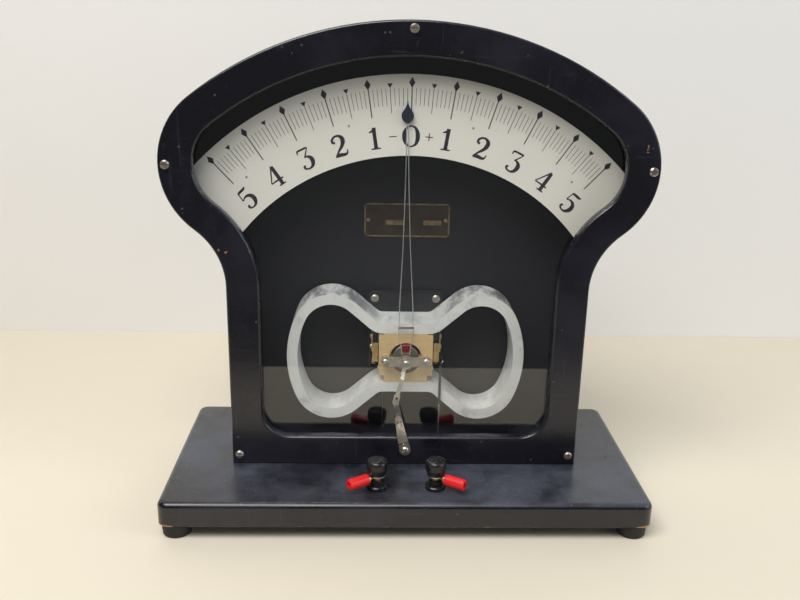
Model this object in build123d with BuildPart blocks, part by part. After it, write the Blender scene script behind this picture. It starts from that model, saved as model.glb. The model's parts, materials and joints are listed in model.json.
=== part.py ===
from build123d import *
from math import asin, atan2, cos, degrees, radians, sin, sqrt
import os

os.makedirs("parts", exist_ok=True)

# A lecture-table galvanometer. A wooden case with a mushroom-shaped outline stands on a wide base.
# Millimetres, +Z up, front towards -Y, origin under the middle of the base at the feet's lowest point.
# Depths are measured backwards from the front face of the bezel, heights from the pivot's axis.

# Base
base_width = 418
base_depth = 198
base_thickness = 22
base_corner_radius = 9
base_edge_round = 5
base_arris = 1
foot_height = 12
foot_radius = 13
foot_taper = 1
foot_inset = 14
foot_screw_recess = 6
foot_screw_grip = 13
case_fixing_well = 4
case_setback = 71

# Case outline in the plane of the window, struck about the pivot
pivot_height = 92
top_radius = 294
shoulder_half_width = 207
shoulder_radius = 68.5
hollow_radius = 62
side_half_width = 155.6

# Case, front to back
bezel_thickness = 12
bezel_edge_round = 2
window_inset = 28
window_sill = 27
window_corner_radius = 24
window_lip_round = 2.5
lip_depth = 8.4
glass_thickness = 2.5
glass_overlap = 5.5
glass_clearance = 0.5
case_depth = 78
case_wall = 13
case_floor = 9
back_ledge = 6
back_thickness = 6
back_recess = 2
back_clearance = 0.3

# Glass clips
clip_width = 12
clip_thickness = 0.8
clip_margin = 1.5
clip_screw_offset = 3.2
clip_screw_length = 6
top_clip_turn = 2.9
side_clip_z = -30
floor_clip_x = 70

# Scale and nameplate
scale_lead = 6.5
scale_thickness = 1.2
scale_inner_radius = 185
scale_outer_radius = 251.7
scale_half_angle = 52
scale_end_margin = 2.5
bracket_angles = (-40, -14, 14, 40)
bracket_rise = 30
bracket_width = 12
bracket_thickness = 1.5
bracket_foot = 14
plate_width = 78
plate_height = 31
plate_rise = 120
plate_thickness = 1.2
plate_border = 1.2
plate_relief = 0.3
plate_corner_radius = 4
plate_screw_x = 35.5
plate_screw = (1.9, 1.2, 0.9)
plate_box_width = 16.5
plate_box_height = 4.4
plate_boxes = ((-11.3, -2.2), (23.2, -2.2))

# Magnet: a flat bar bent into two lobes that meet in a waist
magnet_thickness = 9.5
magnet_depth = 35
waist_height = 28.4
waist_half_length = 20.8
bend_radius = 13.3
slope_angle = 41
lobe_radius = 30
lobe_angle = 65.6
side_radius = 91
magnet_screw_spacing = 21.2
magnet_screw_well = 4.8
magnet_screw_well_depth = 5

# Pole pieces, core and movement frame
pole_half_width = 20
pole_depth = 26
pole_gap = 7
bore_radius = 14.6
core_radius = 12
core_shortfall = 0.5
core_lug_height = 3.2
core_lug_depth = 16
side_plate_thickness = 4.6
side_plate_top = 22.5
side_plate_bottom = 17
mounting_plate = 4
mounting_gap = 0.5
mounting_half_width = 35
mounting_top = 53
mounting_bottom = 20
mounting_screw_x = 28.6
mounting_screw_z = 46
mounting_lower_screw_z = -16
mounting_window_width = 47
mounting_window_height = 20
arm_height = 24
arm_thickness = 4
arm_length = 18

# Bridges and jewels
pillar_x = 18.4
pillar_radius = 3.2
front_pillar_length = 8.3
back_pillar_length = 7.5
bridge_thickness = 2.4
bridge_height = 7
bridge_end_radius = 4.6
bridge_hub_radius = 6.4
hub_boss_radius = 3.5
hub_boss_height = 1.6
jewel_thread_radius = 1.5
jewel_head_radius = 2.6
jewel_head_height = 1.6
jewel_cup_radius = 1.1
jewel_cup_depth = 0.8
jewel_reach = 0.2
lock_nut_radius = 4.6
lock_nut_thickness = 1.2

# Moving coil
coil_half_width = 4.2
coil_inner_height = 12.35
coil_inner_gap = 0.6
former_thickness = 0.45
former_end = 0.5
winding_thickness = 0.95
winding_end = 1.4
staff_radius = 1.5
staff_foot_radius = 2.4
staff_foot_thickness = 0.6
pivot_radius = 0.7
pivot_length = 1.4
pivot_play = 0.2

# Pointer
rest_lean = 0.85
pointer_plane = 4.3
pointer_reach = 181.5
pointer_forward = 5.7
spreader_height = 30.6
spreader_half_width = 6.35
spreader_bar = 2
spreader_thickness = 1.2
wire_radius = 0.4
spade_radius = 5.1
spade_height = 18.4
spade_thickness = 0.6
spade_point = 0.25
foot_bar_height = 5.6
foot_bar_half_width = 3.4
carrier_radius = 2.6
carrier_thickness = 1.2
spreader_overhang = 1.8
spade_grip = 3
spade_socket = 1.6
wire_end_half_gap = 0.7
balance_reach = 20
balance_arm_width = 2
balance_arm_thickness = 0.8
balance_weight_radius = 5
balance_weight_thickness = 3.2
balance_lip = 0.3

# Hairsprings
spring_turns = 4
spring_inner_radius = 1.75
spring_ribbon = 0.3
spring_height = 1.2
spring_outer_radius = 6.75
spring_lead = 7.1
spring_tab = 1.6
back_spring_gap = 1.4

# Zero setting
lever_pivot_height = 15.3
lever_lean = 12
lever_radius = 28.2
lever_end_radius = 34.5
lever_wide_radius = 5.1
lever_narrow_radius = 3.1
lever_thickness = 1.4
lever_bend = 6
lever_gap = 0.4
lever_offset = 1.2
lever_screw = (3.5, 2.0, 1.1)
lever_screw_grip = 6
stud_radius = 2.5
stud_shank_radius = 1.2
stud_height = 6
shaft_radius = 2
bushing_radius = 3.6
bushing_flange = 5.2
bushing_flange_thickness = 0.8
crank_radius = 41.7
crank_thickness = 1.2
crank_pin_radius = 0.8
crank_pin_length = 2
crank_width = 5
crank_boss_radius = 3.6
shaft_tail = 0.8
fork_clearance = 0.35
arm_strip_width = 3.4
arm_strip_thickness = 1.2
arm_ring_radius = 6.2
arm_bearing_gap = 0.1
fork_gap = 0.4
fork_width = 5.4
fork_length = 9
fork_tail = 2.6
fork_bridge = 2
crank_offset = 0.4
running_clearance = 0.08

# Terminals and leads
terminal_block_width = 5.8
terminal_block_height = 9
terminal_block_depth = 12
terminal_air = 0.8
terminal_foot = 4
terminal_tab_thickness = 1
terminal_tab_bottom = 6
terminal_screw_grip = 4
lead_screw_grip = 4
lead_screw_height = 9
lead_radius = 0.6
sleeve_radius = 1.2
sleeve_length = 44
lead_start_z = -1.5
lead_bend = 1.2
eyelet_radius = 5.5
lead_groove_width = 5
lead_groove_depth = 5

# Binding posts and test sockets
post_spacing = 50.4
post_lead = 42
post_radius = 3.175
post_well_radius = 10
post_well_depth = 9
post_washer_thickness = 1
post_washer_radius = 8
post_nut_radius = 6.2
post_nut_thickness = 4.5
collar_radius = 8.8
collar_height = 3.6
collar_boss_radius = 5.6
collar_boss_height = 7.7
collar_bevel = 0.8
stud_foot = -21
socket_pin_radius = 1.5
socket_angle = 32.1
socket_start = 9.6
socket_length = 18.7
socket_radius = 4.9
socket_bore_depth = 14
socket_bore_radius = 2
socket_height = 10.6
pin_overhang = 0.8
pin_set_back = 0.3
pin_collar_radius = 3.6
pin_collar_thickness = 1.2
cap_radius = 9.2
cap_foot_radius = 7.2
cap_height = 13.9
cap_bore_depth = 11.5
cap_taper_height = 5.6
cap_dome = 3.6
cap_end_gap = 0.8
washer_radius = 7.4
washer_thickness = 1.1
post_clearance = 0.055
clamp_gap = 0.05

# Screws: head radius, head height, shank radius
case_screw = (3.75, 2.2, 1.6)
small_screw = (2.3, 1.4, 1.0)
bridge_screw = (3.0, 1.6, 1.2)
foot_screw = (4.5, 2.5, 2.0)
case_fixing = (4.0, 2.4, 2.1)
case_fixing_grip = 8
slot_share = 0.22

# Places that follow from the sizes above
base_top = foot_height + base_thickness
pivot_z = base_top + pivot_height
bezel_front = case_setback - base_depth / 2
case_foot = -pivot_height
sill = case_foot + window_sill
panel_front = case_depth - back_recess - back_thickness
mounting_front = panel_front - mounting_plate
magnet_back = mounting_front - mounting_gap
magnet_front = magnet_back - magnet_depth
magnet_middle = magnet_back - magnet_depth / 2
waist_inside = waist_height - magnet_thickness / 2
waist_outside = waist_height + magnet_thickness / 2
pole_back = magnet_front + pole_depth
scale_front = magnet_front - scale_lead
bridge_back = magnet_front - front_pillar_length
bridge_front = bridge_back - bridge_thickness
back_bridge_front = pole_back + back_pillar_length
back_bridge_back = back_bridge_front + bridge_thickness


def facing(depth, x=0, z=0, lean=0):
    """A plane that faces the front, its own Y leaning to the left of upright by lean degrees."""
    return Plane(
        origin=(x, bezel_front + depth, pivot_z + z),
        x_dir=(cos(radians(lean)), 0, sin(radians(lean))),
        z_dir=(0, -1, 0),
    )


def turned(profile, plane, mode=Mode.ADD):
    """Turns a half section, given as (radius, height) points, about the plane's normal."""
    with BuildSketch(Plane(origin=plane.origin, x_dir=plane.x_dir, z_dir=-plane.y_dir)) as section:
        with BuildLine():
            Polyline(*profile, close=True)
        make_face()
    revolve(section.sketch, axis=Axis(plane.origin, plane.z_dir), mode=mode)


def screw(plane, size, length):
    """A slotted screw whose head stands on the plane and whose shank goes length below it."""
    head, height, shank = size
    edge = height / 2
    profile = [(0, -length), (shank, -length), (shank, 0), (head, 0), (head, edge)]
    turned(profile + [(head - edge, height), (0, height)], plane)
    with BuildSketch(plane.offset(height)) as slot:
        Rectangle(2 * head, 2 * head * slot_share)
    extrude(slot.sketch, amount=-height * 0.45, mode=Mode.SUBTRACT)


# The case outline: an arch about the pivot, rounded shoulders and hollows that run into straight sides
shoulder_x = shoulder_half_width - shoulder_radius
shoulder_z = sqrt((top_radius - shoulder_radius) ** 2 - shoulder_x**2)
hollow_x = side_half_width + hollow_radius
hollow_z = shoulder_z - sqrt((shoulder_radius + hollow_radius) ** 2 - (hollow_x - shoulder_x) ** 2)
shoulder_angle = degrees(atan2(shoulder_z, shoulder_x))
hollow_angle = degrees(atan2(shoulder_z - hollow_z, shoulder_x - hollow_x))


def case_outline(inset, lower_edge, corner_radius=0):
    """The case outline moved inwards by inset, closed along the height lower_edge."""
    side = side_half_width - inset
    with BuildSketch(Plane.XY) as outline:
        with BuildLine():
            Line((side, lower_edge), (side, hollow_z))
            CenterArc((hollow_x, hollow_z), hollow_radius + inset, 180, hollow_angle - 180)
            shoulder_start = hollow_angle - 180
            shoulder_sweep = shoulder_angle - shoulder_start
            CenterArc((shoulder_x, shoulder_z), shoulder_radius - inset, shoulder_start, shoulder_sweep)
            mirror(about=Plane.YZ)
            CenterArc((0, 0), top_radius - inset, shoulder_angle, 180 - 2 * shoulder_angle)
            Line((-side, lower_edge), (side, lower_edge))
        make_face()
        if corner_radius:
            fillet(outline.vertices().group_by(Axis.Y)[0], corner_radius)
    return outline.sketch


outer_face = case_outline(0, case_foot)
window_face = case_outline(window_inset, sill, window_corner_radius)
rabbet_inset = window_inset - glass_overlap - glass_clearance
rabbet_edge = sill - glass_overlap - glass_clearance
rabbet_face = case_outline(rabbet_inset, rabbet_edge)
glass_face = case_outline(rabbet_inset + glass_clearance, sill - glass_overlap)
inside_face = case_outline(case_wall, case_foot + case_floor)
ledge_face = case_outline(case_wall - back_ledge, case_foot + case_floor - back_ledge)
panel_inset = case_wall - back_ledge + back_clearance
panel_face = case_outline(panel_inset, case_foot + case_floor - back_ledge + back_clearance)

# Places of the five bezel screws: (x, z) from the pivot
bezel_screw_inset = case_wall / 2
bezel_screw_spots = [
    (0, top_radius - bezel_screw_inset),
    (shoulder_half_width - bezel_screw_inset, shoulder_z),
    (bezel_screw_inset - shoulder_half_width, shoulder_z),
    (side_half_width - bezel_screw_inset, case_foot + 9.5),
    (bezel_screw_inset - side_half_width, case_foot + 9.5),
]
bezel_screw_length = 28

# Places of the eight screws that hold the back
back_screw_inset = case_wall - back_ledge / 2
back_screw_spots = [
    (0, top_radius - back_screw_inset),
    (0, case_foot + case_floor - back_ledge / 2),
]
for side in (-1, 1):
    back_screw_spots += [
        (side * (shoulder_half_width - back_screw_inset), shoulder_z),
        (side * (side_half_width - back_screw_inset), case_foot + 30),
        (side * (top_radius - back_screw_inset) * sin(radians(25)), (top_radius - back_screw_inset) * cos(radians(25))),
    ]
back_screw_length = 14

# Places of the glass clips: a point on the case outline and the inward direction there
clip_start = case_wall + clip_margin
clip_end = window_inset - 1
clip_step = bezel_thickness - lip_depth - glass_thickness
clip_screw_inset = clip_start + clip_screw_offset
shoulder_turn = degrees(asin((shoulder_half_width - shoulder_radius) / (top_radius - shoulder_radius)))
top_clip_angle = shoulder_turn - top_clip_turn
top_clip_inward = (sin(radians(top_clip_angle)), cos(radians(top_clip_angle)))
top_clip_x = top_radius * top_clip_inward[0]
top_clip_z = top_radius * top_clip_inward[1]
clip_spots = []
for side in (-1, 1):
    clip_spots += [
        (side * side_half_width, side_clip_z, (-side, 0)),
        (side * top_clip_x, top_clip_z, (-side * top_clip_inward[0], -top_clip_inward[1])),
        (side * floor_clip_x, case_foot - window_inset + window_sill, (0, 1)),
    ]

# Places of the screws that go into the back panel
bracket_radius = scale_inner_radius + bracket_rise
bracket_panel_radius = bracket_radius - bracket_foot
scale_screw_spots = [
    (bracket_panel_radius * sin(radians(angle)), bracket_panel_radius * cos(radians(angle)))
    for angle in bracket_angles
]
plate_screw_spots = [(-plate_screw_x, plate_rise), (plate_screw_x, plate_rise)]
bracket_screw_spots = [
    (side * mounting_screw_x, z) for side in (-1, 1) for z in (mounting_screw_z, mounting_lower_screw_z)
]
panel_screw_length = 5

# Lead holes through the case floor and the base
right_lead_x = 31.8
right_lead_depth = magnet_front - 2.5
left_lead_x = -20.2
left_lead_depth = magnet_back + 2.2
lead_hole_radius = 2
post_y = bezel_front - post_lead
post_xs = (-post_spacing / 2, post_spacing / 2)

# Base board
case_fixing_xs = (-120, 120)
case_fixing_depth = (case_depth + bezel_thickness) / 2
foot_x = base_width / 2 - foot_inset
foot_y = base_depth / 2 - foot_inset
foot_points = [(x, y) for x in (-foot_x, foot_x) for y in (-foot_y, foot_y)]
with BuildPart() as base_board:
    with BuildSketch(Plane.XY.offset(foot_height)):
        RectangleRounded(base_width, base_depth, base_corner_radius)
    extrude(amount=base_thickness)
    fillet(base_board.edges().group_by(Axis.Z)[-1], base_edge_round)
    chamfer(base_board.edges().group_by(Axis.Z)[0], base_arris)
    with Locations(Plane.XY.offset(foot_height)):
        with Locations(*[(x, post_y) for x in post_xs]):
            Hole(post_radius + running_clearance)
            Cylinder(post_well_radius, 2 * post_well_depth, mode=Mode.SUBTRACT)
        with Locations((right_lead_x, bezel_front + right_lead_depth), (left_lead_x, bezel_front + left_lead_depth)):
            Hole(lead_hole_radius)
        with Locations(*[(x, bezel_front + case_fixing_depth) for x in case_fixing_xs]):
            Hole(case_fixing[2] + running_clearance)
            Cylinder(case_fixing[0] + 0.5, 2 * case_fixing_well, mode=Mode.SUBTRACT)
        with Locations(*foot_points):
            Cylinder(foot_screw[2], 2 * foot_screw_grip, mode=Mode.SUBTRACT)
    for lead_x, lead_depth, post_x in (
        (right_lead_x, right_lead_depth, post_xs[1]),
        (left_lead_x, left_lead_depth, post_xs[0]),
    ):
        lead_y = bezel_front + lead_depth
        with BuildSketch(Plane.XY.offset(foot_height)):
            with BuildLine() as groove_path:
                Polyline((lead_x, lead_y), (lead_x, post_y + 20), (post_x, post_y + 2))
            trace(line_width=lead_groove_width)
        extrude(amount=lead_groove_depth, mode=Mode.SUBTRACT)
base_board.part.label = "base_board"
export_step(base_board.part, "parts/base_board.step")

# Rubber feet and the screws up their middles
with BuildPart() as rubber_feet:
    for x, y in foot_points:
        under = Plane(origin=(x, y, 0), x_dir=(1, 0, 0), z_dir=(0, 0, 1))
        turned(
            [
                (foot_screw[2] + running_clearance, foot_screw_recess),
                (foot_screw[0] + 0.8, foot_screw_recess),
                (foot_screw[0] + 0.8, 0),
                (foot_radius - foot_taper - 1, 0),
                (foot_radius - foot_taper, 1),
                (foot_radius, foot_height),
                (foot_screw[2] + running_clearance, foot_height),
            ],
            under,
        )
rubber_feet.part.label = "rubber_feet"
export_step(rubber_feet.part, "parts/rubber_feet.step")

# Screws that hold the feet, and those that hold the case down through the base
with BuildPart() as base_screws:
    for x, y in foot_points:
        upwards = Plane(origin=(x, y, foot_screw_recess), x_dir=(1, 0, 0), z_dir=(0, 0, -1))
        screw(upwards, foot_screw, foot_height - foot_screw_recess + foot_screw_grip)
    for x in case_fixing_xs:
        upwards = Plane(
            origin=(x, bezel_front + case_fixing_depth, foot_height + case_fixing_well),
            x_dir=(1, 0, 0),
            z_dir=(0, 0, -1),
        )
        screw(upwards, case_fixing, base_thickness - case_fixing_well + case_fixing_grip)
base_screws.part.label = "base_screws"
export_step(base_screws.part, "parts/base_screws.step")

# Case body: a rim and floor with a ledge for the back
with BuildPart() as case_body:
    with BuildSketch(facing(bezel_thickness)):
        add(outer_face)
        add(inside_face, mode=Mode.SUBTRACT)
    extrude(amount=bezel_thickness - case_depth)
    with BuildSketch(facing(panel_front)):
        add(ledge_face)
    extrude(amount=panel_front - case_depth, mode=Mode.SUBTRACT)
    with Locations(facing(bezel_thickness)):
        with Locations(*bezel_screw_spots):
            Cylinder(case_screw[2], 2 * (bezel_screw_length - bezel_thickness), mode=Mode.SUBTRACT)
    with Locations(facing(panel_front)):
        with Locations(*back_screw_spots):
            Cylinder(case_screw[2], 2 * (back_screw_length - back_thickness), mode=Mode.SUBTRACT)
    with Locations(Plane.XY.offset(base_top)):
        with Locations((right_lead_x, bezel_front + right_lead_depth), (left_lead_x, bezel_front + left_lead_depth)):
            Cylinder(lead_hole_radius, 2 * case_floor + 2, mode=Mode.SUBTRACT)
        with Locations(*[(x, bezel_front + case_fixing_depth) for x in case_fixing_xs]):
            Cylinder(case_fixing[2], 2 * case_fixing_grip, mode=Mode.SUBTRACT)
case_body.part.label = "case_body"
export_step(case_body.part, "parts/case_body.step")

with BuildPart() as back_panel:
    with BuildSketch(facing(panel_front)):
        add(panel_face)
    extrude(amount=-back_thickness)
    with Locations(facing(panel_front)):
        with Locations(*back_screw_spots):
            Hole(case_screw[2] + running_clearance)
        for spots, radius in (
            (scale_screw_spots, small_screw[2]),
            (plate_screw_spots, plate_screw[2]),
            (bracket_screw_spots, case_screw[2]),
        ):
            with Locations(*spots):
                Cylinder(radius, 2 * panel_screw_length, mode=Mode.SUBTRACT)
back_panel.part.label = "back_panel"
export_step(back_panel.part, "parts/back_panel.step")

with BuildPart() as back_screws:
    for x, z in back_screw_spots:
        behind = Plane(
            origin=(x, bezel_front + panel_front + back_thickness, pivot_z + z), x_dir=(1, 0, 0), z_dir=(0, 1, 0)
        )
        screw(behind, (case_screw[0] - 1, case_screw[1] - 0.4, case_screw[2]), back_screw_length)
back_screws.part.label = "back_screws"
export_step(back_screws.part, "parts/back_screws.step")

# Front bezel: a frame with a rounded lip, rabbeted behind for the glass
with BuildPart() as bezel:
    with BuildSketch(facing(0)):
        add(outer_face)
        add(window_face, mode=Mode.SUBTRACT)
    extrude(amount=-bezel_thickness)
    front_face = bezel.faces().sort_by(Axis.Y)[0]
    fillet(front_face.inner_wires().edges(), window_lip_round)
    fillet(bezel.faces().sort_by(Axis.Y)[0].outer_wire().edges(), bezel_edge_round)
    with BuildSketch(facing(lip_depth)):
        add(rabbet_face)
    extrude(amount=lip_depth - bezel_thickness, mode=Mode.SUBTRACT)
    with Locations(facing(0)):
        with Locations(*bezel_screw_spots):
            Hole(case_screw[2] + running_clearance)
        with Locations((0, case_foot + lever_pivot_height)):
            Hole(bushing_radius)
    with Locations(facing(bezel_thickness)):
        with Locations(*[(x + i * clip_screw_inset, z + k * clip_screw_inset) for x, z, (i, k) in clip_spots]):
            Cylinder(small_screw[2], 2 * clip_screw_length, mode=Mode.SUBTRACT)
bezel.part.label = "bezel"
export_step(bezel.part, "parts/bezel.step")

with BuildPart() as bezel_screws:
    for x, z in bezel_screw_spots:
        screw(facing(0, x, z), case_screw, bezel_screw_length)
bezel_screws.part.label = "bezel_screws"
export_step(bezel_screws.part, "parts/bezel_screws.step")

with BuildPart() as window_glass:
    with BuildSketch(facing(lip_depth)):
        add(glass_face)
    extrude(amount=-glass_thickness)
window_glass.part.label = "window_glass"
export_step(window_glass.part, "parts/window_glass.step")

# Glass clips: bent strips screwed to the back of the bezel, one end resting on the glass
clip_profile = [
    (clip_start, 0),
    (rabbet_inset + clip_thickness, 0),
    (rabbet_inset + clip_thickness, -clip_step),
    (clip_end, -clip_step),
    (clip_end, clip_thickness - clip_step),
    (rabbet_inset + 2 * clip_thickness, clip_thickness - clip_step),
    (rabbet_inset + 2 * clip_thickness, clip_thickness),
    (clip_start, clip_thickness),
]
with BuildPart() as glass_clips:
    for x, z, inward in clip_spots:
        across = Plane(
            origin=(x, bezel_front + bezel_thickness, pivot_z + z),
            x_dir=(inward[0], 0, inward[1]),
            z_dir=(-inward[1], 0, inward[0]),
        )
        with BuildSketch(across):
            with BuildLine():
                Polyline(*clip_profile, close=True)
            make_face()
        extrude(amount=clip_width / 2, both=True)
        with Locations(
            facing(bezel_thickness, x + inward[0] * clip_screw_inset, z + inward[1] * clip_screw_inset)
        ):
            Cylinder(small_screw[2] + running_clearance, 4 * clip_thickness, mode=Mode.SUBTRACT)
glass_clips.part.label = "glass_clips"
export_step(glass_clips.part, "parts/glass_clips.step")

# Scale plate: a ring sector cut to the case outline
with BuildPart() as scale_plate:
    with BuildSketch(facing(scale_front)):
        add(case_outline(case_wall + scale_end_margin, case_foot))
        with BuildSketch(mode=Mode.INTERSECT):
            with BuildLine():
                outer_arc = CenterArc((0, 0), scale_outer_radius, 90 - scale_half_angle, 2 * scale_half_angle)
                inner_arc = CenterArc((0, 0), scale_inner_radius, 90 - scale_half_angle, 2 * scale_half_angle)
                Line(outer_arc @ 0, inner_arc @ 0)
                Line(outer_arc @ 1, inner_arc @ 1)
            make_face()
    extrude(amount=-scale_thickness)
    with Locations(facing(scale_front)):
        with Locations(*[(bracket_radius * sin(radians(a)), bracket_radius * cos(radians(a))) for a in bracket_angles]):
            Hole(small_screw[2])
scale_plate.part.label = "scale_plate"
export_step(scale_plate.part, "parts/scale_plate.step")

# Scale brackets: Z-shaped strips from the back of the scale to the back panel
bracket_foot_seat = scale_front + scale_thickness
bracket_profile = [
    (bracket_radius + bracket_foot / 2, bracket_foot_seat),
    (bracket_radius + bracket_foot / 2, bracket_foot_seat + bracket_thickness),
    (bracket_radius - bracket_foot / 2 + bracket_thickness, bracket_foot_seat + bracket_thickness),
    (bracket_radius - bracket_foot / 2 + bracket_thickness, panel_front),
    (bracket_radius - 3 * bracket_foot / 2, panel_front),
    (bracket_radius - 3 * bracket_foot / 2, panel_front - bracket_thickness),
    (bracket_radius - bracket_foot / 2, panel_front - bracket_thickness),
    (bracket_radius - bracket_foot / 2, bracket_foot_seat),
]
with BuildPart() as scale_brackets:
    for angle in bracket_angles:
        radial = facing(0, lean=-angle)
        with BuildSketch(Plane(origin=radial.origin, x_dir=radial.y_dir, z_dir=-radial.x_dir)):
            with BuildLine():
                Polyline(*[(r, depth) for r, depth in bracket_profile], close=True)
            make_face()
        extrude(amount=bracket_width / 2, both=True)
        with Locations(facing((bracket_foot_seat + panel_front) / 2, lean=-angle)):
            with Locations((0, bracket_radius), (0, bracket_panel_radius)):
                Hole(small_screw[2] + running_clearance)
scale_brackets.part.label = "scale_brackets"
export_step(scale_brackets.part, "parts/scale_brackets.step")

with BuildPart() as small_screws:
    for x, z, inward in clip_spots:
        clip_seat = Plane(
            origin=(
                x + inward[0] * clip_screw_inset,
                bezel_front + bezel_thickness + clip_thickness,
                pivot_z + z + inward[1] * clip_screw_inset,
            ),
            x_dir=(1, 0, 0),
            z_dir=(0, 1, 0),
        )
        screw(clip_seat, small_screw, clip_thickness + clip_screw_length)
    for angle in bracket_angles:
        scale_seat = Plane(
            origin=(
                bracket_radius * sin(radians(angle)),
                bezel_front + bracket_foot_seat + bracket_thickness,
                pivot_z + bracket_radius * cos(radians(angle)),
            ),
            x_dir=(1, 0, 0),
            z_dir=(0, 1, 0),
        )
        screw(scale_seat, small_screw, bracket_thickness + scale_thickness)
    for x, z in scale_screw_spots:
        screw(facing(panel_front - bracket_thickness, x, z), small_screw, bracket_thickness + panel_screw_length)
small_screws.part.label = "small_screws"
export_step(small_screws.part, "parts/small_screws.step")

# Nameplate: a bare bordered plate with two empty boxes
with BuildPart() as nameplate:
    with BuildSketch(facing(panel_front, 0, plate_rise)):
        RectangleRounded(plate_width, plate_height, plate_corner_radius)
    extrude(amount=plate_thickness)
    with BuildSketch(facing(panel_front - plate_thickness, 0, plate_rise)):
        RectangleRounded(plate_width, plate_height, plate_corner_radius)
        offset(amount=-plate_border, mode=Mode.SUBTRACT)
        with Locations(*plate_boxes):
            Rectangle(plate_box_width + plate_border, plate_box_height + plate_border)
        with Locations(*plate_boxes):
            Rectangle(plate_box_width, plate_box_height, mode=Mode.SUBTRACT)
    extrude(amount=plate_relief)
    with Locations(facing(panel_front, 0, plate_rise)):
        with Locations((-plate_screw_x, 0), (plate_screw_x, 0)):
            Hole(plate_screw[2] + running_clearance)
nameplate.part.label = "nameplate"
export_step(nameplate.part, "parts/nameplate.step")

with BuildPart() as nameplate_screws:
    for x, z in plate_screw_spots:
        screw(facing(panel_front - plate_thickness, x, z), plate_screw, plate_thickness + panel_screw_length)
nameplate_screws.part.label = "nameplate_screws"
export_step(nameplate_screws.part, "parts/nameplate_screws.step")

# Magnet halves: one bar bent round a lobe, butting against its twin above and below the waist
slope = radians(slope_angle)
lobe_end = radians(lobe_angle)
slope_length = (
    side_radius * cos(lobe_end)
    + lobe_radius * (1 - cos(lobe_end))
    - (lobe_radius + bend_radius) * (1 - cos(slope))
    - waist_height
) / sin(slope)
with BuildSketch(Plane.XY) as magnet_band:
    with BuildLine():
        flat = Line((0, waist_height), (waist_half_length, waist_height))
        bend = JernArc(flat @ 1, flat % 1, bend_radius, slope_angle)
        ramp = Line(bend @ 1, bend @ 1 + (bend % 1) * slope_length)
        lobe = JernArc(ramp @ 1, ramp % 1, lobe_radius, -slope_angle - lobe_angle)
        JernArc(lobe @ 1, lobe % 1, side_radius, lobe_angle - 90)
        mirror(about=Plane.XZ)
    trace(line_width=magnet_thickness)
magnet_screw_seat = waist_outside - magnet_screw_well_depth
magnet_screw_grip = 12
magnet_screw_spots = [(x, magnet_middle) for x in (-magnet_screw_spacing / 2, magnet_screw_spacing / 2)]


def magnet_half(side):
    with BuildPart() as half:
        with BuildSketch(facing(magnet_front)):
            add(magnet_band.sketch)
        extrude(amount=-magnet_depth)
        for way in (-1, 1):
            with Locations(
                Plane(
                    origin=(magnet_screw_spacing / 2, bezel_front + magnet_middle, pivot_z + way * waist_outside),
                    x_dir=(1, 0, 0),
                    z_dir=(0, 0, 1),
                )
            ):
                Cylinder(magnet_screw_well, 2 * magnet_screw_well_depth, mode=Mode.SUBTRACT)
                Cylinder(case_screw[2] + running_clearance, 4 * magnet_thickness, mode=Mode.SUBTRACT)
        if side < 0:
            mirror(about=Plane.YZ, mode=Mode.REPLACE)
    return half.part


magnet_left = magnet_half(-1)
magnet_left.label = "magnet_left"
export_step(magnet_left, "parts/magnet_left.step")
magnet_right = magnet_half(1)
magnet_right.label = "magnet_right"
export_step(magnet_right, "parts/magnet_right.step")

with BuildPart() as magnet_screws:
    for way in (-1, 1):
        for x, depth in magnet_screw_spots:
            seat = Plane(
                origin=(x, bezel_front + depth, pivot_z + way * magnet_screw_seat), x_dir=(1, 0, 0), z_dir=(0, 0, way)
            )
            screw(seat, case_screw, magnet_screw_grip)
magnet_screws.part.label = "magnet_screws"
export_step(magnet_screws.part, "parts/magnet_screws.step")

# Pole pieces: two blocks bored out for the core and coil
side_screw_spots = [(magnet_front + 21.5, 17), (magnet_front + 6.5, -12)]
side_screw_length = 8
pole_screw_grip = magnet_screw_grip - magnet_screw_seat + waist_inside

with BuildPart() as pole_pieces:
    with BuildSketch(facing(magnet_front)):
        Rectangle(2 * pole_half_width, 2 * waist_inside)
        Rectangle(2 * pole_half_width, pole_gap, mode=Mode.SUBTRACT)
        Circle(bore_radius, mode=Mode.SUBTRACT)
    extrude(amount=-pole_depth)
    for way in (-1, 1):
        for x, depth in magnet_screw_spots:
            with Locations((x, bezel_front + depth, pivot_z + way * waist_inside)):
                Cylinder(case_screw[2], 2 * pole_screw_grip, mode=Mode.SUBTRACT)
    for side in (-1, 1):
        for depth, z in side_screw_spots:
            with Locations(Plane(origin=(side * pole_half_width, bezel_front + depth, pivot_z + z), z_dir=(1, 0, 0))):
                Cylinder(small_screw[2], 2 * side_screw_length, mode=Mode.SUBTRACT)
pole_pieces.part.label = "pole_pieces"
export_step(pole_pieces.part, "parts/pole_pieces.step")

# Core and the two blocks that space the poles and carry the core
core_lug_reach = 11
pole_spacer_start = bore_radius + 0.3
bridge_screw_grip = 6
with BuildPart() as core_supports:
    with BuildSketch(facing(magnet_front)):
        for side in (-1, 1):
            with Locations((side * (pole_half_width + pole_spacer_start) / 2, 0)):
                Rectangle(pole_half_width - pole_spacer_start, pole_gap)
    extrude(amount=-pole_depth)
    with BuildSketch(facing(magnet_front + (pole_depth - core_lug_depth) / 2)):
        for side in (-1, 1):
            with Locations((side * (pole_spacer_start + core_lug_reach) / 2, 0)):
                Rectangle(pole_spacer_start - core_lug_reach, core_lug_height)
    extrude(amount=-core_lug_depth)
    for depth in (magnet_front, pole_back):
        with Locations(facing(depth)):
            with Locations((-pillar_x, 0), (pillar_x, 0)):
                Cylinder(bridge_screw[2], 2 * bridge_screw_grip, mode=Mode.SUBTRACT)
core_supports.part.label = "core_supports"
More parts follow.
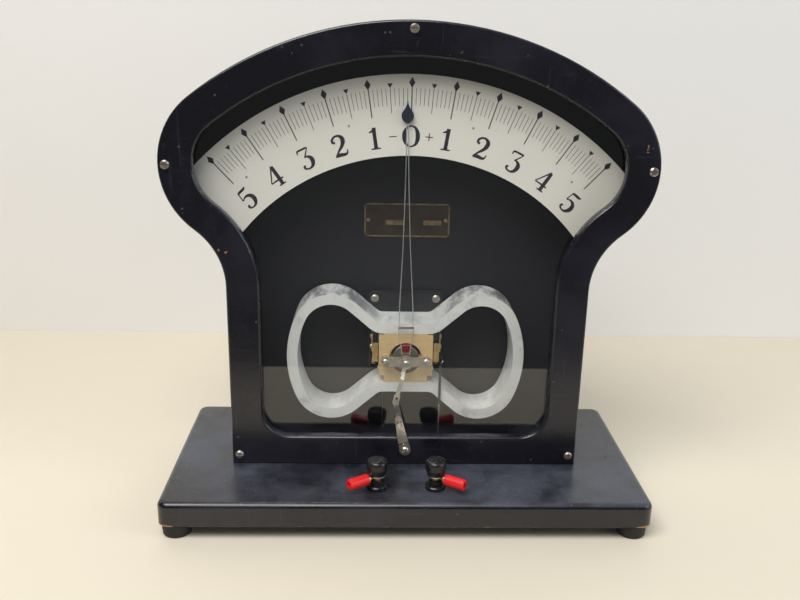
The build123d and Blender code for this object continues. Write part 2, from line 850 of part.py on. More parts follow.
export_step(core_supports.part, "parts/core_supports.step")

with BuildPart() as core:
    with BuildSketch(facing(magnet_front + core_shortfall)):
        Circle(core_radius)
    extrude(amount=2 * core_shortfall - pole_depth)
    chamfer(core.edges().filter_by(GeomType.CIRCLE), 0.4)
    add(core_supports.part, mode=Mode.SUBTRACT)
core.part.label = "core"
export_step(core.part, "parts/core.step")

# Side plates clamp the poles together and carry the terminals and the mounting arms
arm_screw_spots = [(mounting_front - arm_length + 5.5, 7), (mounting_front - arm_length + 5.5, -7)]
terminal_screw_spot = (magnet_front + 1 + terminal_block_depth / 2, 19)
side_plate_height = side_plate_top + side_plate_bottom
side_plate_outside = pole_half_width + side_plate_thickness


plate_holes = side_screw_spots + arm_screw_spots + [terminal_screw_spot]
with BuildPart() as side_plates:
    for side in (-1, 1):
        with BuildSketch(facing(magnet_front)):
            with Locations((side * (pole_half_width + side_plate_outside) / 2, (side_plate_top - side_plate_bottom) / 2)):
                Rectangle(side_plate_thickness, side_plate_height)
        extrude(amount=-pole_depth)
        for depth, z in plate_holes:
            with Locations(Plane(origin=(side * side_plate_outside, bezel_front + depth, pivot_z + z), z_dir=(1, 0, 0))):
                Cylinder(small_screw[2], 2 * side_plate_thickness, mode=Mode.SUBTRACT)
side_plates.part.label = "side_plates"
export_step(side_plates.part, "parts/side_plates.step")

# Movement bracket: a plate on the back panel with two arms forward to the side plates
with BuildPart() as movement_bracket:
    with BuildSketch(facing(mounting_front)):
        with Locations((0, (mounting_top - mounting_bottom) / 2)):
            RectangleRounded(2 * mounting_half_width, mounting_top + mounting_bottom, 4)
        Rectangle(mounting_window_width, mounting_window_height, mode=Mode.SUBTRACT)
    extrude(amount=-mounting_plate)
    with BuildSketch(facing(mounting_front)):
        for side in (-1, 1):
            with Locations((side * (side_plate_outside + arm_thickness / 2), 0)):
                Rectangle(arm_thickness, arm_height)
    extrude(amount=arm_length)
    with Locations(facing(mounting_front)):
        with Locations(*bracket_screw_spots):
            Hole(case_screw[2] + running_clearance)
    for side in (-1, 1):
        for depth, z in arm_screw_spots:
            with Locations(Plane(origin=(side * side_plate_outside, bezel_front + depth, pivot_z + z), z_dir=(1, 0, 0))):
                Cylinder(small_screw[2] + running_clearance, 3 * arm_thickness, mode=Mode.SUBTRACT)
movement_bracket.part.label = "movement_bracket"
export_step(movement_bracket.part, "parts/movement_bracket.step")

# Screws of the movement: bracket to panel, bracket to side plates, side plates to poles, and the terminals
lead_screw_spot = (terminal_screw_spot[0], lead_screw_height)
tab_outside = side_plate_outside + terminal_block_width + terminal_tab_thickness
sideways_screws = []
for depth, z in side_screw_spots:
    sideways_screws.append((side_plate_outside, depth, z, side_plate_thickness + side_screw_length))
for depth, z in arm_screw_spots:
    sideways_screws.append((side_plate_outside + arm_thickness, depth, z, arm_thickness + side_plate_thickness - 0.6))
sideways_screws.append((tab_outside, *terminal_screw_spot, tab_outside - side_plate_outside + terminal_screw_grip))
sideways_screws.append((tab_outside, *lead_screw_spot, lead_screw_grip))
with BuildPart() as movement_screws:
    for x, z in bracket_screw_spots:
        screw(facing(mounting_front, x, z), case_screw, mounting_plate + panel_screw_length)
    for side in (-1, 1):
        for x, depth, z, length in sideways_screws:
            seat = Plane(
                origin=(side * x, bezel_front + depth, pivot_z + z), x_dir=(0, 0.8, 0.6), z_dir=(side, 0, 0)
            )
            screw(seat, small_screw, length)
movement_screws.part.label = "movement_screws"
export_step(movement_screws.part, "parts/movement_screws.step")


# Bridges: a bar on two pillars with a hub for the jewel screw
def bridge(front_depth, pillar_depth, pillar_length, boss):
    with BuildPart() as bar:
        with BuildSketch(facing(front_depth)):
            SlotCenterToCenter(2 * pillar_x, 2 * bridge_end_radius)
            Circle(bridge_hub_radius)
        extrude(amount=-bridge_thickness)
        if boss:
            with BuildSketch(facing(front_depth)):
                Circle(hub_boss_radius)
            extrude(amount=boss)
        with BuildSketch(facing(pillar_depth)):
            with Locations((-pillar_x, 0), (pillar_x, 0)):
                Circle(pillar_radius)
        extrude(amount=-pillar_length)
        with Locations(facing(front_depth)):
            with Locations((-pillar_x, 0), (pillar_x, 0)):
                Hole(bridge_screw[2])
            with Locations((0, 0)):
                Hole(jewel_thread_radius)
    return bar.part


front_bridge = bridge(bridge_front, bridge_back, front_pillar_length, hub_boss_height)
front_bridge.label = "front_bridge"
export_step(front_bridge, "parts/front_bridge.step")

# The back bridge also carries the post of the back spring
back_spring_front = back_bridge_front - jewel_reach - back_spring_gap - spring_height
tab_radius = spring_outer_radius + spring_ribbon / 2
with BuildPart() as back_bridge:
    add(bridge(back_bridge_front, pole_back, back_pillar_length, 0))
    with BuildSketch(facing(back_spring_front)):
        with Locations((0, -tab_radius - spring_tab / 2)):
            Rectangle(arm_strip_width, spring_tab)
    extrude(amount=back_spring_front - back_bridge_back)
    with BuildSketch(facing(back_bridge_front)):
        with Locations((0, -(tab_radius + spring_tab + jewel_head_radius) / 2)):
            Rectangle(arm_strip_width, tab_radius + spring_tab - jewel_head_radius)
    extrude(amount=-bridge_thickness)
back_bridge.part.label = "back_bridge"
export_step(back_bridge.part, "parts/back_bridge.step")

with BuildPart() as bridge_screws:
    for x in (-pillar_x, pillar_x):
        screw(facing(bridge_front, x, 0, lean=25), bridge_screw, bridge_thickness + front_pillar_length + bridge_screw_grip)
        behind = Plane(origin=(x, bezel_front + back_bridge_back, pivot_z), x_dir=(1, 0, 0), z_dir=(0, 1, 0))
        screw(behind, bridge_screw, bridge_thickness + back_pillar_length + bridge_screw_grip)
bridge_screws.part.label = "bridge_screws"
export_step(bridge_screws.part, "parts/bridge_screws.step")

# Jewel screws and their lock nuts
front_nut_front = bridge_front - hub_boss_height - lock_nut_thickness
front_jewel_end = bridge_back + jewel_reach
back_nut_back = back_bridge_back + lock_nut_thickness
back_jewel_end = back_bridge_front - jewel_reach


with BuildPart() as jewel_screws:
    for seat, length in (
        (facing(front_nut_front, lean=30), front_jewel_end - front_nut_front),
        (
            Plane(origin=(0, bezel_front + back_nut_back, pivot_z), x_dir=(1, 0, 0), z_dir=(0, 1, 0)),
            back_nut_back - back_jewel_end,
        ),
    ):
        screw(seat, (jewel_head_radius, jewel_head_height, jewel_thread_radius), length)
        with Locations(seat.offset(-length)):
            Cylinder(jewel_cup_radius, 2 * jewel_cup_depth, mode=Mode.SUBTRACT)
jewel_screws.part.label = "jewel_screws"
export_step(jewel_screws.part, "parts/jewel_screws.step")

with BuildPart() as lock_nuts:
    for depth in (front_nut_front, back_bridge_back):
        with BuildSketch(facing(depth)):
            RegularPolygon(lock_nut_radius, 6)
            Circle(jewel_thread_radius, mode=Mode.SUBTRACT)
        extrude(amount=-lock_nut_thickness)
lock_nuts.part.label = "lock_nuts"
export_step(lock_nuts.part, "parts/lock_nuts.step")

# Moving coil: a winding round a thin metal former
former_front = magnet_front + core_shortfall - coil_inner_gap
former_back = pole_back - core_shortfall + coil_inner_gap
coil_centre = (former_front + former_back) / 2
former_inner_length = former_back - former_front
former_outer_height = coil_inner_height + former_thickness
former_outer_length = former_inner_length + 2 * former_end
winding_height = former_outer_height + winding_thickness
winding_length = former_outer_length + 2 * winding_end
coil_side = Plane(
    origin=(0, bezel_front + coil_centre, pivot_z),
    x_dir=(0, 1, 0),
    z_dir=(cos(radians(rest_lean)), 0, sin(radians(rest_lean))),
)
with BuildPart() as coil_former:
    with BuildSketch(coil_side):
        RectangleRounded(former_outer_length, 2 * former_outer_height, 1)
        Rectangle(former_inner_length, 2 * coil_inner_height, mode=Mode.SUBTRACT)
    extrude(amount=coil_half_width, both=True)
coil_former.part.label = "coil_former"
export_step(coil_former.part, "parts/coil_former.step")

with BuildPart() as coil_winding:
    with BuildSketch(coil_side):
        RectangleRounded(winding_length, 2 * winding_height, 2)
        RectangleRounded(former_outer_length, 2 * former_outer_height, 1, mode=Mode.SUBTRACT)
    extrude(amount=coil_half_width - 0.3, both=True)
coil_winding.part.label = "coil_winding"
export_step(coil_winding.part, "parts/coil_winding.step")

# Pivots: a stepped staff cemented to each end of the coil
winding_front = coil_centre - winding_length / 2
winding_back = coil_centre + winding_length / 2
front_pivot_tip = front_jewel_end - jewel_cup_depth + pivot_play
back_pivot_tip = back_jewel_end + jewel_cup_depth - pivot_play
with BuildPart() as pivots:
    for end_depth, tip_depth, way in ((winding_front, front_pivot_tip, -1), (winding_back, back_pivot_tip, 1)):
        staff = Plane(origin=(0, bezel_front + end_depth, pivot_z), x_dir=(1, 0, 0), z_dir=(0, way, 0))
        length = abs(tip_depth - end_depth)
        turned(
            [
                (0, 0),
                (staff_foot_radius, 0),
                (staff_foot_radius, staff_foot_thickness),
                (staff_radius, staff_foot_thickness),
                (staff_radius, length - pivot_length),
                (pivot_radius, length - pivot_length),
                (pivot_radius, length - pivot_radius / 2),
                (pivot_radius / 2, length),
                (0, length),
            ],
            staff,
        )
pivots.part.label = "pivots"
export_step(pivots.part, "parts/pivots.step")

# Pointer: two wires that bow out to a spreader bar, then close slowly towards the tip
pointer_depth = magnet_front - pointer_plane
pointer_face = facing(pointer_depth, lean=rest_lean)
pointer_axis = Vector(pointer_face.y_dir)
pointer_side = Vector(pointer_face.x_dir)
wire_slope = pointer_forward / pointer_reach
spade_base = spreader_height + pointer_reach
wire_points = [
    (foot_bar_half_width, foot_bar_height),
    (4.8, 15),
    (7.0, 26),
    (spreader_half_width, spreader_height),
    (5.95, 50),
    (3.25, 104),
    (1.6, 156),
    (1.0, 185),
    (wire_end_half_gap, spade_base + spade_grip),
]
with BuildPart() as pointer_wires:
    for side in (-1, 1):
        wire_path = [
            pointer_face.origin
            + pointer_side * (side * x)
            + pointer_axis * z
            + Vector(0, -1, 0) * (wire_slope * max(0, z - spreader_height))
            for x, z in wire_points
        ]
        with BuildLine() as wire_line:
            Polyline(*wire_path)
        with BuildSketch(Plane(origin=wire_path[0], z_dir=wire_line.line % 0)):
            Circle(wire_radius)
        sweep(path=wire_line.line, transition=Transition.RIGHT)
pointer_wires.part.label = "pointer_wires"
export_step(pointer_wires.part, "parts/pointer_wires.step")

with BuildPart() as pointer_carrier:
    with BuildSketch(facing(pointer_depth - carrier_thickness / 2, lean=rest_lean)):
        Circle(carrier_radius)
        with Locations((0, foot_bar_height)):
            RectangleRounded(2 * foot_bar_half_width + 2.4, 2.2, 0.8)
        with Locations((0, foot_bar_height / 2)):
            Rectangle(2.4, foot_bar_height)
        Circle(staff_radius, mode=Mode.SUBTRACT)
    extrude(amount=-carrier_thickness)
    add(pointer_wires.part, mode=Mode.SUBTRACT)
pointer_carrier.part.label = "pointer_carrier"
export_step(pointer_carrier.part, "parts/pointer_carrier.step")

with BuildPart() as pointer_spreader:
    with BuildSketch(facing(pointer_depth - spreader_thickness / 2, lean=rest_lean)):
        with Locations((0, spreader_height)):
            RectangleRounded(2 * spreader_half_width + spreader_overhang, spreader_bar, 0.6)
    extrude(amount=-spreader_thickness)
    add(pointer_wires.part, mode=Mode.SUBTRACT)
pointer_spreader.part.label = "pointer_spreader"
export_step(pointer_spreader.part, "parts/pointer_spreader.step")

with BuildPart() as pointer_tip:
    with BuildSketch(facing(pointer_depth - pointer_forward - spade_thickness / 2, lean=rest_lean)):
        with BuildLine():
            half_spade = Spline(
                (0, spade_base),
                (spade_radius, spade_base + spade_height * 0.4),
                (spade_point, spade_base + spade_height),
                tangents=((1, 0.25), (-0.1, 1)),
            )
            mirror(about=Plane.YZ)
            Line(half_spade @ 1, (-spade_point, spade_base + spade_height))
        make_face()
    extrude(amount=-spade_thickness)
    with BuildSketch(facing(pointer_depth - pointer_forward - spade_socket / 2, lean=rest_lean)):
        with Locations((0, spade_base + spade_grip / 2)):
            RectangleRounded(2 * wire_end_half_gap + 2.2, spade_grip, 0.7)
    extrude(amount=-spade_socket)
    add(pointer_wires.part, mode=Mode.SUBTRACT)
pointer_tip.part.label = "pointer_tip"
export_step(pointer_tip.part, "parts/pointer_tip.step")

# Balance arm behind the coil, with its weight at the end
balance_front = winding_back + staff_foot_thickness
with BuildPart() as balance_arm:
    with BuildSketch(facing(balance_front, lean=rest_lean)):
        Circle(staff_foot_radius)
        with Locations((0, -balance_reach / 2)):
            Rectangle(balance_arm_width, balance_reach)
        Circle(staff_radius, mode=Mode.SUBTRACT)
    extrude(amount=-balance_arm_thickness)
    with BuildSketch(facing(balance_front - balance_lip, lean=rest_lean)):
        with Locations((0, balance_weight_radius - balance_reach)):
            Circle(balance_weight_radius)
    extrude(amount=-balance_weight_thickness)
balance_arm.part.label = "balance_arm"
export_step(balance_arm.part, "parts/balance_arm.step")

# Zero arm: a ring on the bridge's boss, a strip that steps forward, and a fork at its lower end
crank_angle = radians(lever_lean)
crank_x = -crank_radius * sin(crank_angle)
crank_z = case_foot + lever_pivot_height + crank_radius * cos(crank_angle)
fork_radius = sqrt(crank_x**2 + crank_z**2)
fork_lean = degrees(atan2(-crank_x, -crank_z))
fork_end = fork_radius + fork_tail
ring_back = bridge_front - arm_bearing_gap
fork_back = bezel_thickness + crank_offset + crank_thickness + fork_gap + arm_strip_thickness
spring_step = (spring_outer_radius - spring_inner_radius) / spring_turns / 2
arm_side_profile = [
    (-arm_ring_radius, ring_back),
    (arm_ring_radius + 3.5, ring_back),
    (arm_ring_radius + 8.9, fork_back),
    (fork_end, fork_back),
    (fork_end, fork_back - arm_strip_thickness),
    (arm_ring_radius + 8.4, fork_back - arm_strip_thickness),
    (arm_ring_radius + 3, ring_back - arm_strip_thickness),
    (-arm_ring_radius, ring_back - arm_strip_thickness),
]
spring_front = magnet_front - spring_lead
with BuildPart() as zero_arm:
    arm_plane = facing(0, lean=-fork_lean)
    with BuildSketch(arm_plane):
        Circle(arm_ring_radius)
        with Locations((0, -fork_end / 2)):
            Rectangle(arm_strip_width, fork_end)
        with Locations((0, fork_length / 2 - fork_end)):
            Rectangle(fork_width, fork_length)
        Circle(hub_boss_radius + running_clearance, mode=Mode.SUBTRACT)
        with Locations((0, fork_length / 2 - fork_end - fork_bridge)):
            Rectangle(2 * (crank_pin_radius + fork_clearance), fork_length, mode=Mode.SUBTRACT)
    extrude(amount=-ring_back)
    with BuildSketch(Plane(origin=arm_plane.origin, x_dir=-arm_plane.y_dir, z_dir=arm_plane.x_dir)):
        with BuildLine():
            Polyline(*arm_side_profile, close=True)
        make_face()
    extrude(amount=arm_ring_radius, both=True, mode=Mode.INTERSECT)
    with BuildSketch(facing(ring_back - arm_strip_thickness, lean=-fork_lean)):
        with Locations((0, -tab_radius - spring_tab / 2)):
            Rectangle(arm_strip_width, spring_tab)
    extrude(amount=-(spring_front + spring_height - ring_back + arm_strip_thickness))
zero_arm.part.label = "zero_arm"
export_step(zero_arm.part, "parts/zero_arm.step")


# Hairsprings: flat spirals of half circles on two alternating centres
def hairspring(depth, lean):
    with BuildPart() as spring:
        with BuildSketch(facing(depth, lean=lean)):
            with BuildLine():
                for turn in range(2 * spring_turns):
                    radius = spring_inner_radius + spring_step * (turn + 0.5)
                    if turn % 2:
                        CenterArc((0, -spring_step / 2), radius, 90, -180)
                    else:
                        CenterArc((0, spring_step / 2), radius, 270, -180)
            trace(line_width=spring_ribbon)
        extrude(amount=-spring_height)
    return spring.part


front_hairspring = hairspring(spring_front, -fork_lean)
front_hairspring.label = "front_hairspring"
export_step(front_hairspring, "parts/front_hairspring.step")

back_hairspring = hairspring(back_spring_front, 0)
back_hairspring.label = "back_hairspring"
export_step(back_hairspring, "parts/back_hairspring.step")

# Zero lever: a bent strip with a finger stud, screwed to the end of a shaft through the rail
lever_z = case_foot + lever_pivot_height
lever_back = -bushing_flange_thickness - lever_gap
lever_face = facing(0, 0, lever_z, lever_lean)
lever_top_back = lever_back - lever_offset
lever_side_profile = [
    (-lever_wide_radius, lever_back),
    (lever_bend, lever_back),
    (lever_bend + 2 * lever_offset, lever_top_back),
    (lever_end_radius, lever_top_back),
    (lever_end_radius, lever_top_back - lever_thickness),
    (lever_bend + 2 * lever_offset, lever_top_back - lever_thickness),
    (lever_bend, lever_back - lever_thickness),
    (-lever_wide_radius, lever_back - lever_thickness),
]
lever_tip = lever_end_radius - lever_narrow_radius
with BuildPart() as zero_lever:
    with BuildSketch(lever_face):
        with BuildLine():
            Polyline(
                (-lever_wide_radius, 0),
                (-lever_narrow_radius, lever_tip),
                (lever_narrow_radius, lever_tip),
                (lever_wide_radius, 0),
                close=True,
            )
        make_face()
        Circle(lever_wide_radius)
        with Locations((0, lever_tip)):
            Circle(lever_narrow_radius)
        Circle(lever_screw[2] + running_clearance, mode=Mode.SUBTRACT)
        with Locations((0, lever_radius)):
            Circle(stud_shank_radius, mode=Mode.SUBTRACT)
    extrude(amount=bushing_flange, both=True)
    with BuildSketch(Plane(origin=lever_face.origin, x_dir=lever_face.y_dir, z_dir=-lever_face.x_dir)):
        with BuildLine():
            Polyline(*lever_side_profile, close=True)
        make_face()
    extrude(amount=bushing_flange, both=True, mode=Mode.INTERSECT)
zero_lever.part.label = "zero_lever"
export_step(zero_lever.part, "parts/zero_lever.step")

lever_front = facing(lever_back - lever_thickness, 0, lever_z, lever_lean)
stud_seat = Plane(
    origin=lever_face.origin
    + Vector(lever_face.y_dir) * lever_radius
    + Vector(lever_face.z_dir) * (lever_thickness - lever_top_back),
    x_dir=lever_face.x_dir,
    z_dir=lever_face.z_dir,
)
with BuildPart() as lever_fittings:
    turned(
        [
            (0, -lever_thickness),
            (stud_shank_radius, -lever_thickness),
            (stud_shank_radius, 0),
            (stud_radius * 0.8, 0),
            (stud_radius * 0.8, stud_height * 0.35),
            (stud_radius, stud_height * 0.5),
            (stud_radius, stud_height * 0.85),
            (stud_radius * 0.8, stud_height),
            (0, stud_height),
        ],
        stud_seat,
    )
    screw(lever_front, lever_screw, lever_thickness + lever_screw_grip)
lever_fittings.part.label = "lever_fittings"
export_step(lever_fittings.part, "parts/lever_fittings.step")

with BuildPart() as lever_bushing:
    turned(
        [
            (shaft_radius + running_clearance, -bezel_thickness),
            (bushing_radius, -bezel_thickness),
            (bushing_radius, 0),
            (bushing_flange, 0),
            (bushing_flange, bushing_flange_thickness),
            (shaft_radius + running_clearance, bushing_flange_thickness),
        ],
        facing(0, 0, lever_z),
    )
lever_bushing.part.label = "lever_bushing"
export_step(lever_bushing.part, "parts/lever_bushing.step")

crank_front = bezel_thickness + crank_offset
crank_back = crank_front + crank_thickness
with BuildPart() as lever_shaft:
    turned(
        [
            (0, crank_back - lever_back + shaft_tail),
            (shaft_radius, crank_back - lever_back + shaft_tail),
            (shaft_radius, 0),
            (0, 0),
        ],
        Plane(origin=(0, bezel_front + lever_back, pivot_z + lever_z), x_dir=(1, 0, 0), z_dir=(0, 1, 0)),
    )
    with Locations(Plane(origin=(0, bezel_front + lever_back, pivot_z + lever_z), z_dir=(0, 1, 0))):
        Cylinder(lever_screw[2], 2 * lever_screw_grip, mode=Mode.SUBTRACT)
lever_shaft.part.label = "lever_shaft"
export_step(lever_shaft.part, "parts/lever_shaft.step")

with BuildPart() as inner_lever:
    with BuildSketch(facing(crank_front, 0, lever_z, lever_lean)):
        with Locations((0, crank_radius / 2)):
            SlotCenterToCenter(crank_radius, crank_width, rotation=90)
        Circle(crank_boss_radius)
        Circle(shaft_radius, mode=Mode.SUBTRACT)
    extrude(amount=-crank_thickness)
    with BuildSketch(facing(crank_front, 0, lever_z, lever_lean)):
        with Locations((0, crank_radius)):
            Circle(crank_pin_radius)
    extrude(amount=-crank_thickness - crank_pin_length)
inner_lever.part.label = "inner_lever"
export_step(inner_lever.part, "parts/inner_lever.step")

# Terminals: insulating blocks on the side plates, brass blocks with a tab, and their screws
block_front = magnet_front + 1
block_top = waist_inside - terminal_air / 2
block_bottom = block_top - terminal_block_height
block_outside = side_plate_outside + terminal_block_width
with BuildPart() as terminal_blocks:
    for side in (-1, 1):
        with BuildSketch(facing(block_front)):
            with Locations((side * (side_plate_outside + terminal_block_width / 2), (block_top + block_bottom) / 2)):
                Rectangle(terminal_block_width, terminal_block_height)
        extrude(amount=-terminal_block_depth)
        with Locations(
            Plane(
                origin=(side * block_outside, bezel_front + terminal_screw_spot[0], pivot_z + terminal_screw_spot[1]),
                z_dir=(1, 0, 0),
            )
        ):
            Cylinder(small_screw[2] + running_clearance, 3 * terminal_block_width, mode=Mode.SUBTRACT)
terminal_blocks.part.label = "terminal_blocks"
export_step(terminal_blocks.part, "parts/terminal_blocks.step")

with BuildPart() as terminal_strips:
    for side in (-1, 1):
        with BuildSketch(facing(block_front)):
            with Locations((side * (side_plate_outside + terminal_air + block_outside) / 2, (block_bottom - terminal_foot) / 2)):
                Rectangle(terminal_block_width - terminal_air, block_bottom + terminal_foot)
            with Locations((side * (block_outside + tab_outside) / 2, (block_top + terminal_tab_bottom) / 2)):
                Rectangle(terminal_tab_thickness, block_top - terminal_tab_bottom)
        extrude(amount=-terminal_block_depth)
        for depth, z in (terminal_screw_spot, lead_screw_spot):
            with Locations(Plane(origin=(side * tab_outside, bezel_front + depth, pivot_z + z), z_dir=(1, 0, 0))):
                Cylinder(small_screw[2] + running_clearance, 2 * lead_screw_grip, mode=Mode.SUBTRACT)
terminal_strips.part.label = "terminal_strips"
export_step(terminal_strips.part, "parts/terminal_strips.step")

# Leads: from the terminals down through the case floor and along the grooves to the posts
eyelet_z = foot_height + post_well_depth - post_washer_thickness
groove_z = foot_height + lead_groove_depth / 2


def lead(points, post_x, sleeve_points):
    start = points[0]
    with BuildPart() as wire:
        with BuildLine() as route:
            FilletPolyline(*points, radius=lead_bend)
        with BuildSketch(Plane(origin=start, z_dir=route.line % 0)):
            Circle(lead_radius)
        sweep(path=route.line)
        with BuildLine() as sleeve_route:
            Line(*sleeve_points)
        with BuildSketch(Plane(origin=sleeve_points[0], z_dir=sleeve_route.line % 0)):
            Circle(sleeve_radius)
        sweep(path=sleeve_route.line)
        with Locations((post_x, post_y, eyelet_z - lead_radius)):
            Cylinder(eyelet_radius, 2 * lead_radius)
            Cylinder(post_radius + running_clearance, 4 * lead_radius, mode=Mode.SUBTRACT)
    return wire.part


def inside(x, depth, z):
    return (x, bezel_front + depth, pivot_z + z)


lead_start_depth = block_front + terminal_block_depth / 2
right_drop = right_lead_x
lead_right = lead(
    [
        inside(block_outside, lead_start_depth, lead_start_z),
        inside(right_drop + lead_bend + 1, lead_start_depth, lead_start_z),
        inside(right_drop + lead_bend + 1, right_lead_depth, lead_start_z),
        inside(right_drop, right_lead_depth, lead_start_z - 4),
        inside(right_lead_x, right_lead_depth, groove_z - pivot_z),
        (right_lead_x, post_y + 20, groove_z),
        (post_xs[1] + 3.5, post_y + post_well_radius, groove_z),
        (post_xs[1] + 1, post_y + post_nut_radius + 1, eyelet_z - lead_radius),
        (post_xs[1], post_y + post_radius + 1, eyelet_z - lead_radius),
    ],
    post_xs[1],
    (inside(right_drop, right_lead_depth, -7), inside(right_drop, right_lead_depth, -sleeve_length)),
)

left_drop = -(block_outside + lead_bend + 1)
lead_left = lead(
    [
        inside(-block_outside, lead_start_depth, lead_start_z),
        inside(left_drop, lead_start_depth, lead_start_z),
        inside(left_drop, magnet_back - 3.5, lead_start_z),
        inside(left_drop, magnet_back - 3.5, -mounting_bottom - 4),
        inside(left_drop, left_lead_depth, -mounting_bottom - 4),
        inside(left_lead_x, left_lead_depth, -mounting_bottom - 16),
        inside(left_lead_x, left_lead_depth, groove_z - pivot_z),
        (left_lead_x, post_y + 20, groove_z),
        (post_xs[0] + 1.5, post_y + post_well_radius, groove_z),
        (post_xs[0] + 0.5, post_y + post_nut_radius + 1, eyelet_z - lead_radius),
        (post_xs[0], post_y + post_radius + 1, eyelet_z - lead_radius),
    ],
    post_xs[0],
    (
        inside(left_drop, magnet_back - 3.5, lead_start_z - 3),
        inside(left_drop, magnet_back - 3.5, 1 - mounting_bottom),
    ),
)

with BuildPart() as leads:
    add(lead_left)
    add(lead_right)
leads.part.label = "leads"
export_step(leads.part, "parts/leads.step")

# Binding posts: insulating collars, cross-drilled studs, washers and nuts under the board
pin_z = base_top + socket_height
post_frames = [Plane(origin=(x, post_y, base_top), x_dir=(1, 0, 0), z_dir=(0, 0, 1)) for x in post_xs]
washer_z = socket_height + socket_pin_radius + clamp_gap
cap_z = washer_z + washer_thickness
post_top = cap_z + cap_bore_depth - cap_end_gap
with BuildPart() as post_collars:
    for frame in post_frames:
        turned(
            [
                (post_radius, 0),
                (collar_radius, 0),
                (collar_radius, collar_height - collar_bevel),
                (collar_radius - collar_bevel, collar_height),
                (collar_boss_radius, collar_height),
                (collar_boss_radius, collar_boss_height),
                (post_radius, collar_boss_height),
            ],
            frame,
        )
post_collars.part.label = "post_collars"
export_step(post_collars.part, "parts/post_collars.step")


def socket_plane(side, distance):
    """A plane square to a socket's axis, at a distance from the post's axis."""
    out = Vector(side * cos(radians(socket_angle)), -sin(radians(socket_angle)), 0)
    start = Vector(side * post_spacing / 2, post_y, pin_z)
    return Plane(origin=start + out * distance, x_dir=(0, 0, 1), z_dir=out)


with BuildPart() as post_studs:
    for frame in post_frames:
        turned(
            [
                (0, stud_foot),
                (post_radius, stud_foot),
                (post_radius, post_top - 0.6),
                (post_radius - 0.6, post_top),
                (0, post_top),
            ],
            frame,
        )
    for side in (-1, 1):
        with Locations(socket_plane(side, 0)):
            Cylinder(socket_pin_radius + post_clearance, 4 * post_radius, mode=Mode.SUBTRACT)
post_studs.part.label = "post_studs"
export_step(post_studs.part, "parts/post_studs.step")

nut_top = eyelet_z - 2 * lead_radius - base_top
with BuildPart() as post_nuts:
    for frame in post_frames:
        with BuildSketch(frame.offset(eyelet_z - base_top)):
            Circle(post_washer_radius)
            Circle(post_radius, mode=Mode.SUBTRACT)
        extrude(amount=post_washer_thickness)
        with BuildSketch(frame.offset(nut_top - post_nut_thickness)):
            RegularPolygon(post_nut_radius, 6)
            Circle(post_radius, mode=Mode.SUBTRACT)
        extrude(amount=post_nut_thickness)
post_nuts.part.label = "post_nuts"
export_step(post_nuts.part, "parts/post_nuts.step")


def clamp_washer(frame):
    with BuildPart() as washer:
        with BuildSketch(frame.offset(washer_z)):
            Circle(washer_radius)
            Circle(post_radius + post_clearance, mode=Mode.SUBTRACT)
        extrude(amount=washer_thickness)
    return washer.part


washer_left = clamp_washer(post_frames[0])
washer_left.label = "washer_left"
export_step(washer_left, "parts/washer_left.step")
washer_right = clamp_washer(post_frames[1])
washer_right.label = "washer_right"
export_step(washer_right, "parts/washer_right.step")


def post_cap(frame):
    with BuildPart() as cap:
        turned(
            [
                (post_radius + post_clearance, 0),
                (cap_foot_radius, 0),
                (cap_radius, cap_taper_height),
                (cap_radius, cap_height),
                (0, cap_height),
                (0, cap_bore_depth),
                (post_radius + post_clearance, cap_bore_depth),
            ],
            frame.offset(cap_z),
        )
        fillet(cap.edges().group_by(Axis.Z)[-1], cap_dome)
    return cap.part


cap_left = post_cap(post_frames[0])
cap_left.label = "cap_left"
export_step(cap_left, "parts/cap_left.step")
cap_right = post_cap(post_frames[1])
cap_right.label = "cap_right"
export_step(cap_right, "parts/cap_right.step")


def socket_sleeve(side):
    with BuildPart() as sleeve:
        turned(
            [
                (socket_pin_radius, 0),
                (socket_radius - 0.5, 0),
                (socket_radius, 0.5),
                (socket_radius, socket_length - 0.8),
                (socket_radius - 0.8, socket_length),
                (socket_bore_radius, socket_length),
                (socket_bore_radius, socket_length - socket_bore_depth),
                (socket_pin_radius, socket_length - socket_bore_depth),
            ],
            socket_plane(side, socket_start),
        )
    return sleeve.part


socket_left = socket_sleeve(-1)
socket_left.label = "socket_left"
export_step(socket_left, "parts/socket_left.step")
socket_right = socket_sleeve(1)
socket_right.label = "socket_right"
export_step(socket_right, "parts/socket_right.step")


def socket_pin(side):
    with BuildPart() as pin:
        turned(
            [
                (0, -socket_start - post_radius - pin_overhang),
                (socket_pin_radius - 0.5, -socket_start - post_radius - pin_overhang),
                (socket_pin_radius, 0.5 - socket_start - post_radius - pin_overhang),
                (socket_pin_radius, -pin_collar_thickness),
                (pin_collar_radius, -pin_collar_thickness),
                (pin_collar_radius, 0),
                (socket_pin_radius, 0),
                (socket_pin_radius, socket_length - socket_bore_depth - pin_set_back),
                (0, socket_length - socket_bore_depth - pin_set_back),
            ],
            socket_plane(side, socket_start),
        )
    return pin.part


pin_left = socket_pin(-1)
pin_left.label = "pin_left"
export_step(pin_left, "parts/pin_left.step")
pin_right = socket_pin(1)
pin_right.label = "pin_right"
export_step(pin_right, "parts/pin_right.step")
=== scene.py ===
"""Finishes and dial marks for a lecture-table galvanometer, laid out as an add-on and run as a script."""

import json
from math import cos, pi, radians, sin

import bpy
from mathutils import Matrix, Vector


